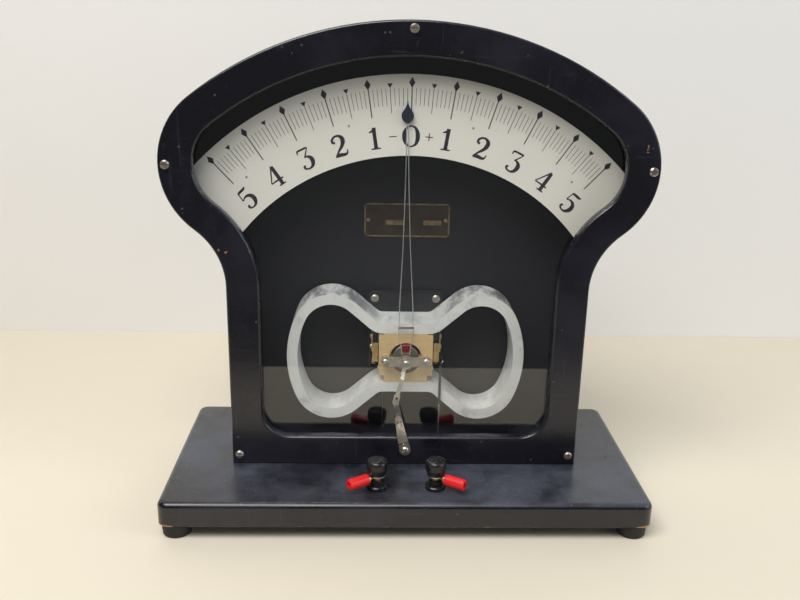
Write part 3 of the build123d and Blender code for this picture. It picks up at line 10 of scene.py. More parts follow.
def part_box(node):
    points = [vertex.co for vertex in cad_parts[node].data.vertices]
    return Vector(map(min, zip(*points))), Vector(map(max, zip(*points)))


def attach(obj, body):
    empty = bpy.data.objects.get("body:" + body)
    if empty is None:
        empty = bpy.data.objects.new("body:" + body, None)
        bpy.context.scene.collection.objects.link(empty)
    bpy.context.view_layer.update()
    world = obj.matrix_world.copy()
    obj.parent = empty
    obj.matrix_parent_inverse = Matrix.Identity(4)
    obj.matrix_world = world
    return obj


bl_info = {
    "name": "Lecture-table galvanometer",
    "version": (1, 0, 0),
    "blender": (4, 5, 0),
    "location": "View3D > Sidebar > Galvanometer",
    "description": "Finishes the case, the movement and the dial of a demonstration galvanometer",
    "category": "Object",
}

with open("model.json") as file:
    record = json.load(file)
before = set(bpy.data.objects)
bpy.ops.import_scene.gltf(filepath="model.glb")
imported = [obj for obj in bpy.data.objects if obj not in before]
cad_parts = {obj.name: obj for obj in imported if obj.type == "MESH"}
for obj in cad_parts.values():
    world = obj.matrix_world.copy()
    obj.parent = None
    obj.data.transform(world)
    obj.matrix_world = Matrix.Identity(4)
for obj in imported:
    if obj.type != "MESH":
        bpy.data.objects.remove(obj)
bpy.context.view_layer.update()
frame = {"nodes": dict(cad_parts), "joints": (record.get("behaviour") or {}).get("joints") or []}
MM = 0.001

# Read from the frame: the dial's plane, the pivot that its marks are struck about, and the places of
# the base, the bezel's front and the nameplate
DIAL_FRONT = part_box("scale_plate")[0].y
PIVOT_Z = next(joint for joint in frame["joints"] if joint["name"] == "pointer_swing")["pos_m"][2]
BASE_LOW, BASE_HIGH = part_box("base_board")
BEZEL_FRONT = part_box("bezel")[0].y
PLATE_LOW, PLATE_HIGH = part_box("nameplate")

# Printed marks: half widths of the ticks, half sizes of the diamonds, and the small triangles
LAST_NUMBER = 5
MAIN_TICK_HALF_WIDTH = 0.45 * MM
HALF_TICK_HALF_WIDTH = 0.26 * MM
SMALL_TICK_HALF_WIDTH = 0.2 * MM
DIAMOND_HALF_WIDTH = 2.6 * MM
DIAMOND_HALF_HEIGHT = 4.4 * MM
TRIANGLE = [(0, -2.3 * MM), (2.3 * MM, 1.6 * MM), (-2.3 * MM, 1.6 * MM)]
TRIANGLE_RISE = 2.6 * MM
STROKE_LIFT = 0.002 * MM
STROKE_STEPS = 7
SIGN_PLACE = 0.5

# Nameplate: its bare border and its two empty fields
PLATE_BORDER = 1.3 * MM
FIELD_PLACES = (-11.3 * MM, 23.2 * MM)
FIELD_DROP = 2.2 * MM
FIELD_HALF_HEIGHT = 2.2 * MM
FIELD_HALF_WIDTH = 8.25 * MM

# Cloth sleeve on the leads: its two ends in height, how far to the right it goes, and how it fades and weaves
SLEEVE_LOW = PIVOT_Z - 0.0445
SLEEVE_HIGH = 0.14
SLEEVE_ACROSS = 0.0325
SLEEVE_FADE = 1 * MM
WEAVE_SLANT = 1.3
WEAVE_FREQUENCY = 9000.0

# Wear: two distances from an edge of the base or case, or above the pivot on the magnet, between which it
# comes or goes
CORNER_WEAR = (30 * MM, 4 * MM)
LOW_EDGE_WEAR = (0.8 * MM, 4.5 * MM)
ARRIS_WEAR = (0.3 * MM, 1.6 * MM)
TOP_EDGE_WEAR = (7 * MM, 4.5 * MM)
FRONT_WEAR = (0.5 * MM, 5 * MM)
CASE_EDGE_WEAR = (0.4 * MM, 1.6 * MM)
LOBE_WEAR = (28 * MM, 50 * MM)

# Coil: the pitch of its wire
WIRE_PITCH = 0.35 * MM

# Stage and camera
STAGE_SIZE = 8.0
FLOOR_FRONT = -0.33
FLOOR_DROP = 0.2 * MM
WALL_PLACE = 0.42
WORLD_LIGHT = 0.12
CAMERA_PLACE = (-0.0308, -0.7355, 0.4124)
CAMERA_YAW = 1.91
CAMERA_PITCH = 17.38
CAMERA_ROLL = 1.18


# Settings


class GalvanometerDialSettings(bpy.types.PropertyGroup):
    """Sizes of the printed dial"""

    diamond_radius: bpy.props.FloatProperty(
        name="Diamond radius",
        description="Pivot to the middle of each diamond",
        default=0.245,
        unit="LENGTH",
    )
    half_span: bpy.props.FloatProperty(
        name="Half span",
        description="Angle from the zero to either end mark",
        default=radians(43.2),
        unit="ROTATION",
    )
    tick_inner: bpy.props.FloatProperty(
        name="Tick inner radius",
        description="Inner end of the small ticks",
        default=0.2263,
        unit="LENGTH",
    )
    tick_outer: bpy.props.FloatProperty(
        name="Tick outer radius",
        description="Outer end of the small ticks",
        default=0.2404,
        unit="LENGTH",
    )
    half_tick_inner: bpy.props.FloatProperty(
        name="Half tick radius",
        description="Inner end of the ticks half way",
        default=0.2204,
        unit="LENGTH",
    )
    main_tick_inner: bpy.props.FloatProperty(
        name="Main tick radius",
        description="Inner end of the numbered ticks",
        default=0.218,
        unit="LENGTH",
    )
    numeral_radius: bpy.props.FloatProperty(
        name="Numeral radius",
        description="Pivot to the middle of each numeral",
        default=0.2012,
        unit="LENGTH",
    )
    numeral_height: bpy.props.FloatProperty(
        name="Numeral height", description="Height of the numerals", default=0.0185, unit="LENGTH"
    )
    divisions: bpy.props.IntProperty(
        name="Divisions", description="Small divisions between two numbered marks", default=10
    )
    print_thickness: bpy.props.FloatProperty(
        name="Print thickness",
        description="How far the ink stands on the plate",
        default=0.00004,
        unit="LENGTH",
    )


class GalvanometerFinishSettings(bpy.types.PropertyGroup):
    """Colours of the main finishes"""

    lacquer: bpy.props.FloatVectorProperty(
        name="Lacquer",
        description="Black lacquer of the case",
        subtype="COLOR",
        default=(0.0042, 0.004, 0.0085),
    )
    bare_wood: bpy.props.FloatVectorProperty(
        name="Bare wood",
        description="Wood under chipped lacquer",
        subtype="COLOR",
        default=(0.52, 0.31, 0.13),
    )
    scale_cream: bpy.props.FloatVectorProperty(
        name="Scale cream",
        description="Paint of the scale",
        subtype="COLOR",
        default=(0.86, 0.83, 0.755),
    )
    ink: bpy.props.FloatVectorProperty(
        name="Ink", description="Printed marks", subtype="COLOR", default=(0.012, 0.012, 0.02)
    )
    magnet_grey: bpy.props.FloatVectorProperty(
        name="Magnet grey", description="Paint of the magnet", subtype="COLOR", default=(0.8, 0.8, 0.76)
    )
    socket_red: bpy.props.FloatVectorProperty(
        name="Socket red",
        description="Moulded red of the test sockets",
        subtype="COLOR",
        default=(0.78, 0.012, 0.015),
    )


class GalvanometerStageSettings(bpy.types.PropertyGroup):
    """Floor, lamps and camera"""

    floor_colour: bpy.props.FloatVectorProperty(
        name="Floor colour", description="Plain pale floor", subtype="COLOR", default=(0.84, 0.77, 0.63)
    )
    key_power: bpy.props.FloatProperty(
        name="Key power", description="Power of the large lamp overhead", default=34.0, unit="POWER"
    )
    fill_power: bpy.props.FloatProperty(
        name="Fill power", description="Power of the lamp on the right", default=9.0, unit="POWER"
    )
    lens: bpy.props.FloatProperty(
        name="Lens", description="Focal length on a 36 mm sensor", default=38.916, unit="CAMERA"
    )


# Small helpers


def settings():
    """The add-on's three groups of settings: dial, finishes and stage."""
    scene = bpy.context.scene
    return scene.galvanometer_dial, scene.galvanometer_finish, scene.galvanometer_stage


def pick(*objects):
    """Selects only these objects, the first one active."""
    bpy.ops.object.select_all(action="DESELECT")
    for obj in objects:
        obj.select_set(True)
    bpy.context.view_layer.objects.active = objects[0]


def settle(obj, name, material, body):
    """Puts a finished piece's place into its mesh, and gives it its name, material, body and slot."""
    pick(obj)
    bpy.ops.object.transform_apply(location=True, rotation=True, scale=True)
    obj.name = name
    obj.data.name = name
    obj.data.materials.clear()
    obj.data.materials.append(material)
    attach(obj, body)


# Shader building


class Net:
    """A node tree with short calls for adding and joining nodes."""

    def __init__(self, tree):
        self.tree = tree

    def node(self, kind, **values):
        """A new node, with its inputs fed by name."""
        made = self.tree.nodes.new(kind)
        for key, value in values.items():
            self.feed(made.inputs[key], value)
        return made

    def feed(self, socket, value):
        """Links an output to this input, or sets the input to a number or colour."""
        if isinstance(value, bpy.types.NodeSocket):
            self.tree.links.new(value, socket)
        elif isinstance(value, (tuple, list)) and len(value) == 3 and len(socket.default_value) == 4:
            socket.default_value = (*value, 1)
        else:
            socket.default_value = value

    def maths(self, operation, first, second=0.5, clamp=False):
        made = self.tree.nodes.new("ShaderNodeMath")
        made.operation = operation
        made.use_clamp = clamp
        self.feed(made.inputs[0], first)
        self.feed(made.inputs[1], second)
        return made.outputs[0]

    def product(self, first, second, third):
        """Three masks multiplied together."""
        return self.maths("MULTIPLY", self.maths("MULTIPLY", first, second), third)

    def ramp(self, value, low, high, out_low=0.0, out_high=1.0):
        """Value between low and high, eased to run from out_low to out_high."""
        made = self.tree.nodes.new("ShaderNodeMapRange")
        made.interpolation_type = "SMOOTHSTEP"
        for socket, number in zip(made.inputs[:5], (value, low, high, out_low, out_high)):
            self.feed(socket, number)
        return made.outputs[0]

    def mix(self, factor, first, second):
        """The first colour, turning into the second with the factor."""
        made = self.tree.nodes.new("ShaderNodeMix")
        made.data_type = "RGBA"
        self.feed(made.inputs[0], factor)
        self.feed(made.inputs[6], first)
        self.feed(made.inputs[7], second)
        return made.outputs[2]

    def blend(self, factor, first, second):
        """The first number, turning into the second with the factor."""
        made = self.tree.nodes.new("ShaderNodeMix")
        made.data_type = "FLOAT"
        self.feed(made.inputs[0], factor)
        self.feed(made.inputs[2], first)
        self.feed(made.inputs[3], second)
        return made.outputs[0]

    def noise(self, vector, scale, detail=3.0, roughness=0.5):
        made = self.node("ShaderNodeTexNoise", Vector=vector, Scale=scale, Detail=detail, Roughness=roughness)
        return made.outputs[0]

    def place(self):
        """The place on the piece, in metres."""
        return self.tree.nodes.new("ShaderNodeTexCoord").outputs["Object"]

    def stretch(self, vector, scale):
        made = self.node("ShaderNodeMapping", Vector=vector)
        made.inputs["Scale"].default_value = scale
        return made.outputs[0]

    def axes(self, vector):
        return self.node("ShaderNodeSeparateXYZ", Vector=vector).outputs

    def group(self, name, **values):
        """The outputs of a shared effect, with its inputs fed by name."""
        made = self.tree.nodes.new("ShaderNodeGroup")
        made.node_tree = bpy.data.node_groups[name]
        for key, value in values.items():
            self.feed(made.inputs[key], value)
        return made.outputs


def new_group(name, numbers, results):
    """Starts a shared effect that takes a place and numbers, and gives its net, inputs and outputs."""
    tree = bpy.data.node_groups.new(name, "ShaderNodeTree")
    tree.interface.new_socket(name="Place", in_out="INPUT", socket_type="NodeSocketVector")
    for socket, default in numbers.items():
        made = tree.interface.new_socket(name=socket, in_out="INPUT", socket_type="NodeSocketFloat")
        made.default_value = default
    for socket in results:
        tree.interface.new_socket(name=socket, in_out="OUTPUT", socket_type="NodeSocketFloat")
    entry = tree.nodes.new("NodeGroupInput")
    leave = tree.nodes.new("NodeGroupOutput")
    return Net(tree), entry.outputs, leave.inputs


def build_groups():
    """Makes the shared effects: patches, scratches, dust, brushed grain and speckles."""
    patches = {"Scale": 30.0, "Coverage": 0.5, "Softness": 0.1}
    net, given, result = new_group("Worn patches", patches, ["Mask"])
    broad = net.noise(given["Place"], given["Scale"], 6.0, 0.62)
    low = net.maths("SUBTRACT", given["Coverage"], given["Softness"])
    high = net.maths("ADD", given["Coverage"], given["Softness"])
    net.feed(result["Mask"], net.ramp(broad, low, high, 1.0, 0.0))

    net, given, result = new_group("Fine scratches", {"Scale": 60.0, "Amount": 0.5}, ["Mask"])
    lines = []
    for turn, stretch in ((0.6, (0.06, 1.0, 1.4)), (2.1, (1.2, 1.0, 0.05)), (1.2, (1.0, 0.07, 0.9))):
        mapped = net.node("ShaderNodeMapping", Vector=given["Place"])
        mapped.inputs["Rotation"].default_value = (turn, turn * 0.4, turn * 0.7)
        mapped.inputs["Scale"].default_value = stretch
        streak = net.noise(mapped.outputs[0], net.maths("MULTIPLY", given["Scale"], 8.0), 2.0, 0.4)
        lines.append(net.ramp(streak, 0.69, 0.74))
    joined = net.maths("MAXIMUM", net.maths("MAXIMUM", lines[0], lines[1]), lines[2])
    net.feed(result["Mask"], net.maths("MULTIPLY", joined, given["Amount"]))

    net, given, result = new_group("Settled dust", {"Amount": 0.5}, ["Mask"])
    facing_up = net.axes(net.tree.nodes.new("ShaderNodeNewGeometry").outputs["Normal"])[2]
    upward = net.ramp(facing_up, 0.35, 0.95)
    cloud = net.ramp(net.noise(given["Place"], 14.0, 5.0, 0.6), 0.36, 0.68)
    fine = net.ramp(net.noise(given["Place"], 900.0, 2.0, 0.5), 0.45, 0.7, 0.55, 1.0)
    film = net.product(cloud, fine, upward)
    net.feed(result["Mask"], net.maths("MULTIPLY", film, given["Amount"], clamp=True))

    net, given, result = new_group("Brushed grain", {"Scale": 400.0}, ["Tone", "Height"])
    drawn = net.stretch(given["Place"], (0.08, 1.0, 1.0))
    grain = net.noise(drawn, given["Scale"], 3.0, 0.6)
    net.feed(result["Tone"], net.ramp(grain, 0.3, 0.7))
    net.feed(result["Height"], grain)

    net, given, result = new_group("Specks", {"Scale": 500.0, "Share": 0.03}, ["Mask"])
    cells = net.node("ShaderNodeTexVoronoi", Vector=given["Place"], Scale=given["Scale"])
    chosen = net.maths("LESS_THAN", net.axes(cells.outputs["Color"])[0], given["Share"])
    round_spot = net.ramp(cells.outputs["Distance"], 0.18, 0.3, 1.0, 0.0)
    net.feed(result["Mask"], net.maths("MULTIPLY", chosen, round_spot))


def new_material(name):
    """An empty material with its net, its Principled shader and the place on the piece."""
    material = bpy.data.materials.new(name)
    material.use_nodes = True
    material.node_tree.nodes.clear()
    net = Net(material.node_tree)
    shader = net.node("ShaderNodeBsdfPrincipled")
    sheet = net.node("ShaderNodeOutputMaterial")
    material.node_tree.links.new(shader.outputs[0], sheet.inputs[0])
    return material, net, shader, net.place()


def bump(net, shader, height, strength, distance):
    """Raises the surface by a height that a texture gives."""
    made = net.node("ShaderNodeBump", Height=height, Strength=strength, Distance=distance)
    net.feed(shader.inputs["Normal"], made.outputs[0])


def lacquer_material(name, finish, dust, chips):
    """Black lacquer on wood: faint orange peel and grain, rubbed patches, dust, specks and chips."""
    material, net, shader, place = new_material(name)
    rubbed = net.group("Worn patches", Place=place, Scale=9.0, Coverage=0.47, Softness=0.12)["Mask"]
    scratch = net.group("Fine scratches", Place=place, Scale=40.0, Amount=0.5)["Mask"]
    film = net.group("Settled dust", Place=place, Amount=dust)["Mask"]
    speck = net.group("Specks", Place=place, Scale=260.0, Share=0.02)["Mask"]
    dark = tuple(finish.lacquer)
    pale = tuple(min(1.0, 1.9 * c + 0.004) for c in finish.lacquer)
    colour = net.mix(rubbed, dark, pale)
    colour = net.mix(net.maths("MULTIPLY", scratch, 0.35), colour, (0.07, 0.07, 0.09))
    colour = net.mix(film, colour, (0.12, 0.135, 0.18))
    colour = net.mix(net.maths("MULTIPLY", speck, 0.3), colour, (0.25, 0.24, 0.23))
    rough = net.blend(rubbed, 0.24, 0.36)
    rough = net.maths("ADD", rough, net.maths("MULTIPLY", film, 0.5), clamp=True)
    worn = chips(net, place)
    wood_grain = net.noise(net.stretch(place, (0.3, 1, 1)), 700.0, 3.0)
    colour = net.mix(worn, colour, net.mix(wood_grain, tuple(finish.bare_wood), (0.3, 0.15, 0.05)))
    rough = net.blend(worn, rough, 0.75)
    net.feed(shader.inputs["Base Color"], colour)
    net.feed(shader.inputs["Roughness"], rough)
    shader.inputs["Coat Weight"].default_value = 0.35
    shader.inputs["Coat Roughness"].default_value = 0.16
    peel = net.noise(place, 380.0, 3.0, 0.55)
    grain = net.group("Brushed grain", Place=place, Scale=160.0)["Height"]
    bump(net, shader, net.maths("ADD", peel, net.maths("MULTIPLY", grain, 0.8)), 0.16, 0.0006)
    return material


def metal_material(name, colour, tarnish, roughness=0.28, amount=0.5, grain=600.0, metallic=1.0):
    """Metal with tarnished patches, fine brushed grain and scratches."""
    material, net, shader, place = new_material(name)
    brushed = net.group("Brushed grain", Place=place, Scale=grain)
    patch = net.group("Worn patches", Place=place, Scale=120.0, Coverage=0.5, Softness=0.16)["Mask"]
    scratch = net.group("Fine scratches", Place=place, Scale=160.0, Amount=0.7)["Mask"]
    tone = net.mix(net.maths("MULTIPLY", patch, amount), colour, tarnish)
    tone = net.mix(net.maths("MULTIPLY", brushed["Tone"], 0.25), tone, tuple(0.7 * c for c in colour))
    net.feed(shader.inputs["Base Color"], tone)
    shader.inputs["Metallic"].default_value = metallic
    rough = net.maths("ADD", roughness, net.maths("MULTIPLY", patch, 0.18))
    rough = net.maths("ADD", rough, net.maths("MULTIPLY", scratch, 0.2), clamp=True)
    net.feed(shader.inputs["Roughness"], rough)
    bump(net, shader, net.maths("ADD", brushed["Height"], scratch), 0.12, 0.0002)
    return material


def plastic_material(name, colour, roughness, wear=0.35, pale=(0.2, 0.2, 0.22)):
    """Moulded plastic with a faint mottled bloom and handling scratches."""
    material, net, shader, place = new_material(name)
    bloom = net.group("Worn patches", Place=place, Scale=110.0, Coverage=0.5, Softness=0.2)["Mask"]
    scratch = net.group("Fine scratches", Place=place, Scale=200.0, Amount=wear)["Mask"]
    bloomed = tuple(min(1.0, 1.5 * c + 0.008) for c in colour)
    tone = net.mix(net.maths("MULTIPLY", bloom, 0.25), colour, bloomed)
    net.feed(shader.inputs["Base Color"], net.mix(net.maths("MULTIPLY", scratch, 0.3), tone, pale))
    net.feed(shader.inputs["Roughness"], net.blend(bloom, roughness, roughness + 0.16))
    bump(net, shader, net.maths("ADD", net.noise(place, 900.0, 3.0), scratch), 0.1, 0.0003)
    return material


def paint_material(name, colour, aged, roughness=0.45, scale=18.0, amount=0.4, dirt=None):
    """Brushed-on paint: mottled age, fine texture and small dark specks."""
    material, net, shader, place = new_material(name)
    cloud = net.group("Worn patches", Place=place, Scale=scale, Coverage=0.5, Softness=0.2)["Mask"]
    speck = net.group("Specks", Place=place, Scale=420.0, Share=0.02)["Mask"]
    tone = net.mix(net.maths("MULTIPLY", cloud, amount), colour, aged)
    tone = net.mix(net.maths("MULTIPLY", speck, 0.35), tone, tuple(0.35 * c for c in colour))
    if dirt:
        tone = dirt(net, place, tone)
    net.feed(shader.inputs["Base Color"], tone)
    net.feed(shader.inputs["Roughness"], net.blend(cloud, roughness, roughness + 0.12))
    bump(net, shader, net.noise(place, 700.0, 4.0), 0.12, 0.0003)
    return material


# Wear that belongs to one piece


def base_chips(net, place):
    """Chipped lacquer along the lower arris, at the feet's corners and in small nicks on the front edge."""
    x, y, z = net.axes(place)[:3]
    across = net.maths("ABSOLUTE", x)
    deep = net.maths("ABSOLUTE", y)
    corner = net.maths(
        "MULTIPLY",
        net.ramp(across, *(BASE_HIGH.x - inset for inset in CORNER_WEAR)),
        net.ramp(deep, *(BASE_HIGH.y - inset for inset in CORNER_WEAR)),
    )
    low_edge = net.ramp(z, *(BASE_LOW.z + rise for rise in LOW_EDGE_WEAR), 1.0, 0.0)
    ragged = net.noise(place, 210.0, 5.0, 0.7)
    fine = net.noise(place, 900.0, 3.0, 0.6)
    low_corner = net.maths("MULTIPLY", corner, low_edge)
    corner_chip = net.ramp(net.maths("ADD", low_corner, net.maths("MULTIPLY", ragged, 0.8)), 1.04, 1.1)
    run = net.noise(net.stretch(place, (1.0, 1.0, 0.2)), 55.0, 4.0, 0.7)
    arris = net.ramp(z, *(BASE_LOW.z + rise for rise in ARRIS_WEAR), 1.0, 0.0)
    run_chip = net.maths("MULTIPLY", net.ramp(run, 0.6, 0.64), arris)
    top_edge = net.ramp(z, *(BASE_HIGH.z - inset for inset in TOP_EDGE_WEAR))
    front = net.ramp(y, *(-BASE_HIGH.y + inset for inset in FRONT_WEAR), 1.0, 0.0)
    nick_noise = net.noise(place, 70.0, 2.0, 0.4)
    nick = net.product(top_edge, front, net.ramp(nick_noise, 0.735, 0.75))
    worn = net.maths("MAXIMUM", net.maths("MAXIMUM", corner_chip, run_chip), nick)
    return net.maths("MULTIPLY", worn, net.ramp(fine, 0.3, 0.5, 0.6, 1.0), clamp=True)


def case_chips(net, place):
    """A few pale nicks on the outer edges of the case."""
    broad = net.noise(place, 55.0, 3.0, 0.6)
    fine = net.noise(place, 420.0, 4.0, 0.6)
    edge = net.ramp(net.axes(place)[1], *(BEZEL_FRONT + inset for inset in CASE_EDGE_WEAR), 1.0, 0.0)
    return net.product(net.ramp(broad, 0.72, 0.75), net.ramp(fine, 0.5, 0.56), edge)


def magnet_wear(net, place, tone):
    """Paint rubbed to dark iron in streaks on the top of the lobes, and grey smudges on the faces."""
    normal_z = net.axes(net.tree.nodes.new("ShaderNodeNewGeometry").outputs["Normal"])[2]
    upward = net.ramp(net.maths("ABSOLUTE", normal_z), 0.3, 0.9)
    streak = net.noise(net.stretch(place, (1.0, 0.35, 1.0)), 60.0, 6.0, 0.7)
    z = net.axes(place)[2]
    high = net.ramp(z, *(PIVOT_Z + rise for rise in LOBE_WEAR), 0.25, 1.0)
    worn = net.product(net.ramp(streak, 0.4, 0.6), upward, high)
    smudge = net.ramp(net.noise(place, 38.0, 6.0, 0.72), 0.5, 0.72)
    tone = net.mix(net.maths("MULTIPLY", smudge, 0.45), tone, (0.24, 0.235, 0.22))
    return net.mix(net.maths("MULTIPLY", worn, 0.8), tone, (0.09, 0.095, 0.11))


# Paint: its colour, its aged colour, roughness, and the scale and amount of the mottling
PAINTS = {
    "panel black": ((0.003, 0.003, 0.006), (0.008, 0.008, 0.013), 0.5, 8.0, 0.6),
    "black paint": ((0.011, 0.011, 0.014), (0.03, 0.03, 0.032), 0.4, 150.0, 0.5),
    "pointer black": ((0.012, 0.014, 0.03), (0.02, 0.022, 0.04), 0.35, 200.0, 0.4),
}
# Metal: its colour, its tarnish, roughness and the amount of tarnish, then the scale of the grain and how
# metallic it is where they aren't the usual ones
METALS = {
    "nickel": ((0.66, 0.62, 0.56), (0.3, 0.25, 0.2), 0.24, 0.45),
    "screw nickel": ((0.6, 0.56, 0.5), (0.26, 0.21, 0.16), 0.3, 0.6),
    "steel": ((0.45, 0.44, 0.43), (0.2, 0.18, 0.16), 0.36, 0.5),
    "brass": ((0.75, 0.53, 0.24), (0.32, 0.2, 0.09), 0.3, 0.5),
    "plate brass": ((0.5, 0.38, 0.22), (0.16, 0.11, 0.07), 0.42, 0.7),
    "pole tan": ((0.8, 0.6, 0.33), (0.62, 0.43, 0.2), 0.42, 0.45, 500.0, 0.4),
    "soft iron": ((0.36, 0.35, 0.33), (0.2, 0.17, 0.13), 0.4, 0.5),
    "aluminium": ((0.75, 0.74, 0.72), (0.55, 0.54, 0.52), 0.3, 0.3),
    "bronze ribbon": ((0.72, 0.45, 0.26), (0.4, 0.22, 0.12), 0.28, 0.4),
}


def build_materials():
    """Every finish of the object, by name."""
    finish = settings()[1]
    build_groups()
    cream, ink, grey, red = (
        tuple(colour) for colour in (finish.scale_cream, finish.ink, finish.magnet_grey, finish.socket_red)
    )
    made = {name: paint_material(name, *values) for name, values in PAINTS.items()}
    made.update({name: metal_material(name, *values) for name, values in METALS.items()})
    made["case lacquer"] = lacquer_material("case lacquer", finish, 0.25, case_chips)
    made["base lacquer"] = lacquer_material("base lacquer", finish, 0.75, base_chips)
    made["scale cream"] = paint_material("scale cream", cream, (0.8, 0.75, 0.64), 0.42, 12.0, 0.35)
    made["dial ink"] = paint_material("dial ink", ink, (0.03, 0.03, 0.045), 0.4, 300.0, 0.5)
    aged_grey = (0.64, 0.66, 0.66)
    made["magnet paint"] = paint_material("magnet paint", grey, aged_grey, 0.4, 30.0, 0.6, magnet_wear)
    made["foot rubber"] = plastic_material("foot rubber", (0.012, 0.012, 0.013), 0.6, 0.2)
    made["black moulding"] = plastic_material("black moulding", (0.009, 0.009, 0.011), 0.22)
    made["red moulding"] = plastic_material("red moulding", red, 0.3, 0.2, (0.9, 0.2, 0.2))
    made["plate face"] = plate_material()
    made["winding"] = winding_material()
    made["window glass"] = glass_material()
    made["lead"] = lead_material()
    return made


def plate_material():
    """Brass plate: its border and two empty fields are bare, the rest is dark varnish gone brown."""
    material, net, shader, place = new_material("plate face")
    middle = (PLATE_LOW + PLATE_HIGH) / 2
    half_size = (PLATE_HIGH - PLATE_LOW) / 2
    x, _, z = net.axes(place)[:3]
    across = net.maths("SUBTRACT", x, middle.x)
    up = net.maths("SUBTRACT", z, middle.z)
    bare = net.maths(
        "MAXIMUM",
        net.maths("GREATER_THAN", net.maths("ABSOLUTE", across), half_size.x - PLATE_BORDER),
        net.maths("GREATER_THAN", net.maths("ABSOLUTE", up), half_size.z - PLATE_BORDER),
    )
    from_line = net.maths("ABSOLUTE", net.maths("ADD", up, FIELD_DROP))
    line = net.maths("LESS_THAN", from_line, FIELD_HALF_HEIGHT)
    for field in FIELD_PLACES:
        offset = net.maths("ABSOLUTE", net.maths("SUBTRACT", across, field))
        inside = net.maths("MULTIPLY", line, net.maths("LESS_THAN", offset, FIELD_HALF_WIDTH))
        bare = net.maths("MAXIMUM", bare, inside)
    patch = net.group("Worn patches", Place=place, Scale=120.0, Coverage=0.5, Softness=0.2)["Mask"]
    brass = net.mix(patch, (0.4, 0.29, 0.16), (0.2, 0.14, 0.08))
    dark = net.mix(patch, (0.02, 0.014, 0.012), (0.045, 0.03, 0.02))
    net.feed(shader.inputs["Base Color"], net.mix(bare, dark, brass))
    net.feed(shader.inputs["Metallic"], net.maths("MULTIPLY", bare, 0.8))
    net.feed(shader.inputs["Roughness"], net.blend(patch, 0.4, 0.55))
    bump(net, shader, net.noise(place, 600.0, 4.0), 0.12, 0.0002)
    return material


def winding_material():
    """Dark red enamelled wire, laid in close turns round the coil, with painted shade near-black in the
    valleys between the turns.
    """
    material, net, shader, place = new_material("winding")
    x = net.axes(place)[0]
    turns = net.maths("SINE", net.maths("MULTIPLY", x, 2 * pi / WIRE_PITCH))
    # One on the crowns of the turns and nought in the valleys: it sets the bump, the roughness and the
    # painted valley shade
    crown_and_valley_shade = net.ramp(turns, -1.0, 0.2)
    shade = net.noise(place, 300.0, 3.0)
    # Painted shade: the valleys between the turns are coloured near-black, the crowns carry the red tones
    tone = net.mix(crown_and_valley_shade, (0.03, 0.001, 0.002), net.mix(shade, (0.2, 0.008, 0.012), (0.34, 0.02, 0.025)))
    net.feed(shader.inputs["Base Color"], tone)
    net.feed(shader.inputs["Roughness"], net.blend(crown_and_valley_shade, 0.5, 0.22))
    bump(net, shader, crown_and_valley_shade, 0.6, 0.00012)
    return material


def mix_with_clear(material, net, shader, share):
    """Makes the material clear by the share, for some kinds of ray or one side."""
    clear = net.node("ShaderNodeBsdfTransparent")
    joined = net.node("ShaderNodeMixShader", Fac=share)
    net.tree.links.new(shader.outputs[0], joined.inputs[1])
    net.tree.links.new(clear.outputs[0], joined.inputs[2])
    sheet = next(node for node in net.tree.nodes if node.type == "OUTPUT_MATERIAL")
    net.tree.links.new(joined.outputs[0], sheet.inputs[0])
    return material


def glass_material():
    """Clear sheet that casts no shadow on the dial and keeps its reflections."""
    material, net, shader, place = new_material("window glass")
    film = net.ramp(net.noise(place, 12.0, 4.0, 0.6), 0.45, 0.75, 0.012, 0.05)
    shader.inputs["Base Color"].default_value = (0.96, 0.98, 0.98, 1)
    shader.inputs["Metallic"].default_value = 0.0
    shader.inputs["IOR"].default_value = 1.5
    shader.inputs["Transmission Weight"].default_value = 1.0
    net.feed(shader.inputs["Roughness"], net.maths("MULTIPLY", film, 0.2))
    path = net.node("ShaderNodeLightPath")
    through = net.maths("MAXIMUM", path.outputs["Is Shadow Ray"], path.outputs["Is Diffuse Ray"])
    return mix_with_clear(material, net, shader, through)


def lead_material():
    """Tinned wire, dark cloth where the thicker sleeve covers it inside the case."""
    material, net, shader, place = new_material("lead")
    x, _, z = net.axes(place)[:3]
    above = net.ramp(z, SLEEVE_LOW, SLEEVE_LOW + SLEEVE_FADE)
    below = net.ramp(z, SLEEVE_HIGH, SLEEVE_HIGH + SLEEVE_FADE, 1.0, 0.0)
    drop = net.ramp(x, SLEEVE_ACROSS, SLEEVE_ACROSS + SLEEVE_FADE, 1.0, 0.0)
    cover = net.maths("MULTIPLY", net.maths("MULTIPLY", above, below), drop, clamp=True)
    slanted = net.maths("ADD", z, net.maths("MULTIPLY", x, WEAVE_SLANT))
    weave = net.maths("SINE", net.maths("MULTIPLY", slanted, WEAVE_FREQUENCY))
    bright = net.mix(net.noise(place, 500.0, 3.0), (0.62, 0.6, 0.56), (0.4, 0.37, 0.32))
    dark = net.mix(net.ramp(weave, -1.0, 1.0), (0.012, 0.012, 0.014), (0.05, 0.05, 0.055))
    net.feed(shader.inputs["Base Color"], net.mix(cover, bright, dark))
    net.feed(shader.inputs["Metallic"], net.maths("SUBTRACT", 1.0, cover))
    net.feed(shader.inputs["Roughness"], net.blend(cover, 0.35, 0.8))
    bump(net, shader, net.maths("MULTIPLY", weave, cover), 0.3, 0.0002)
    return material


# Which nodes of the frame have which finish

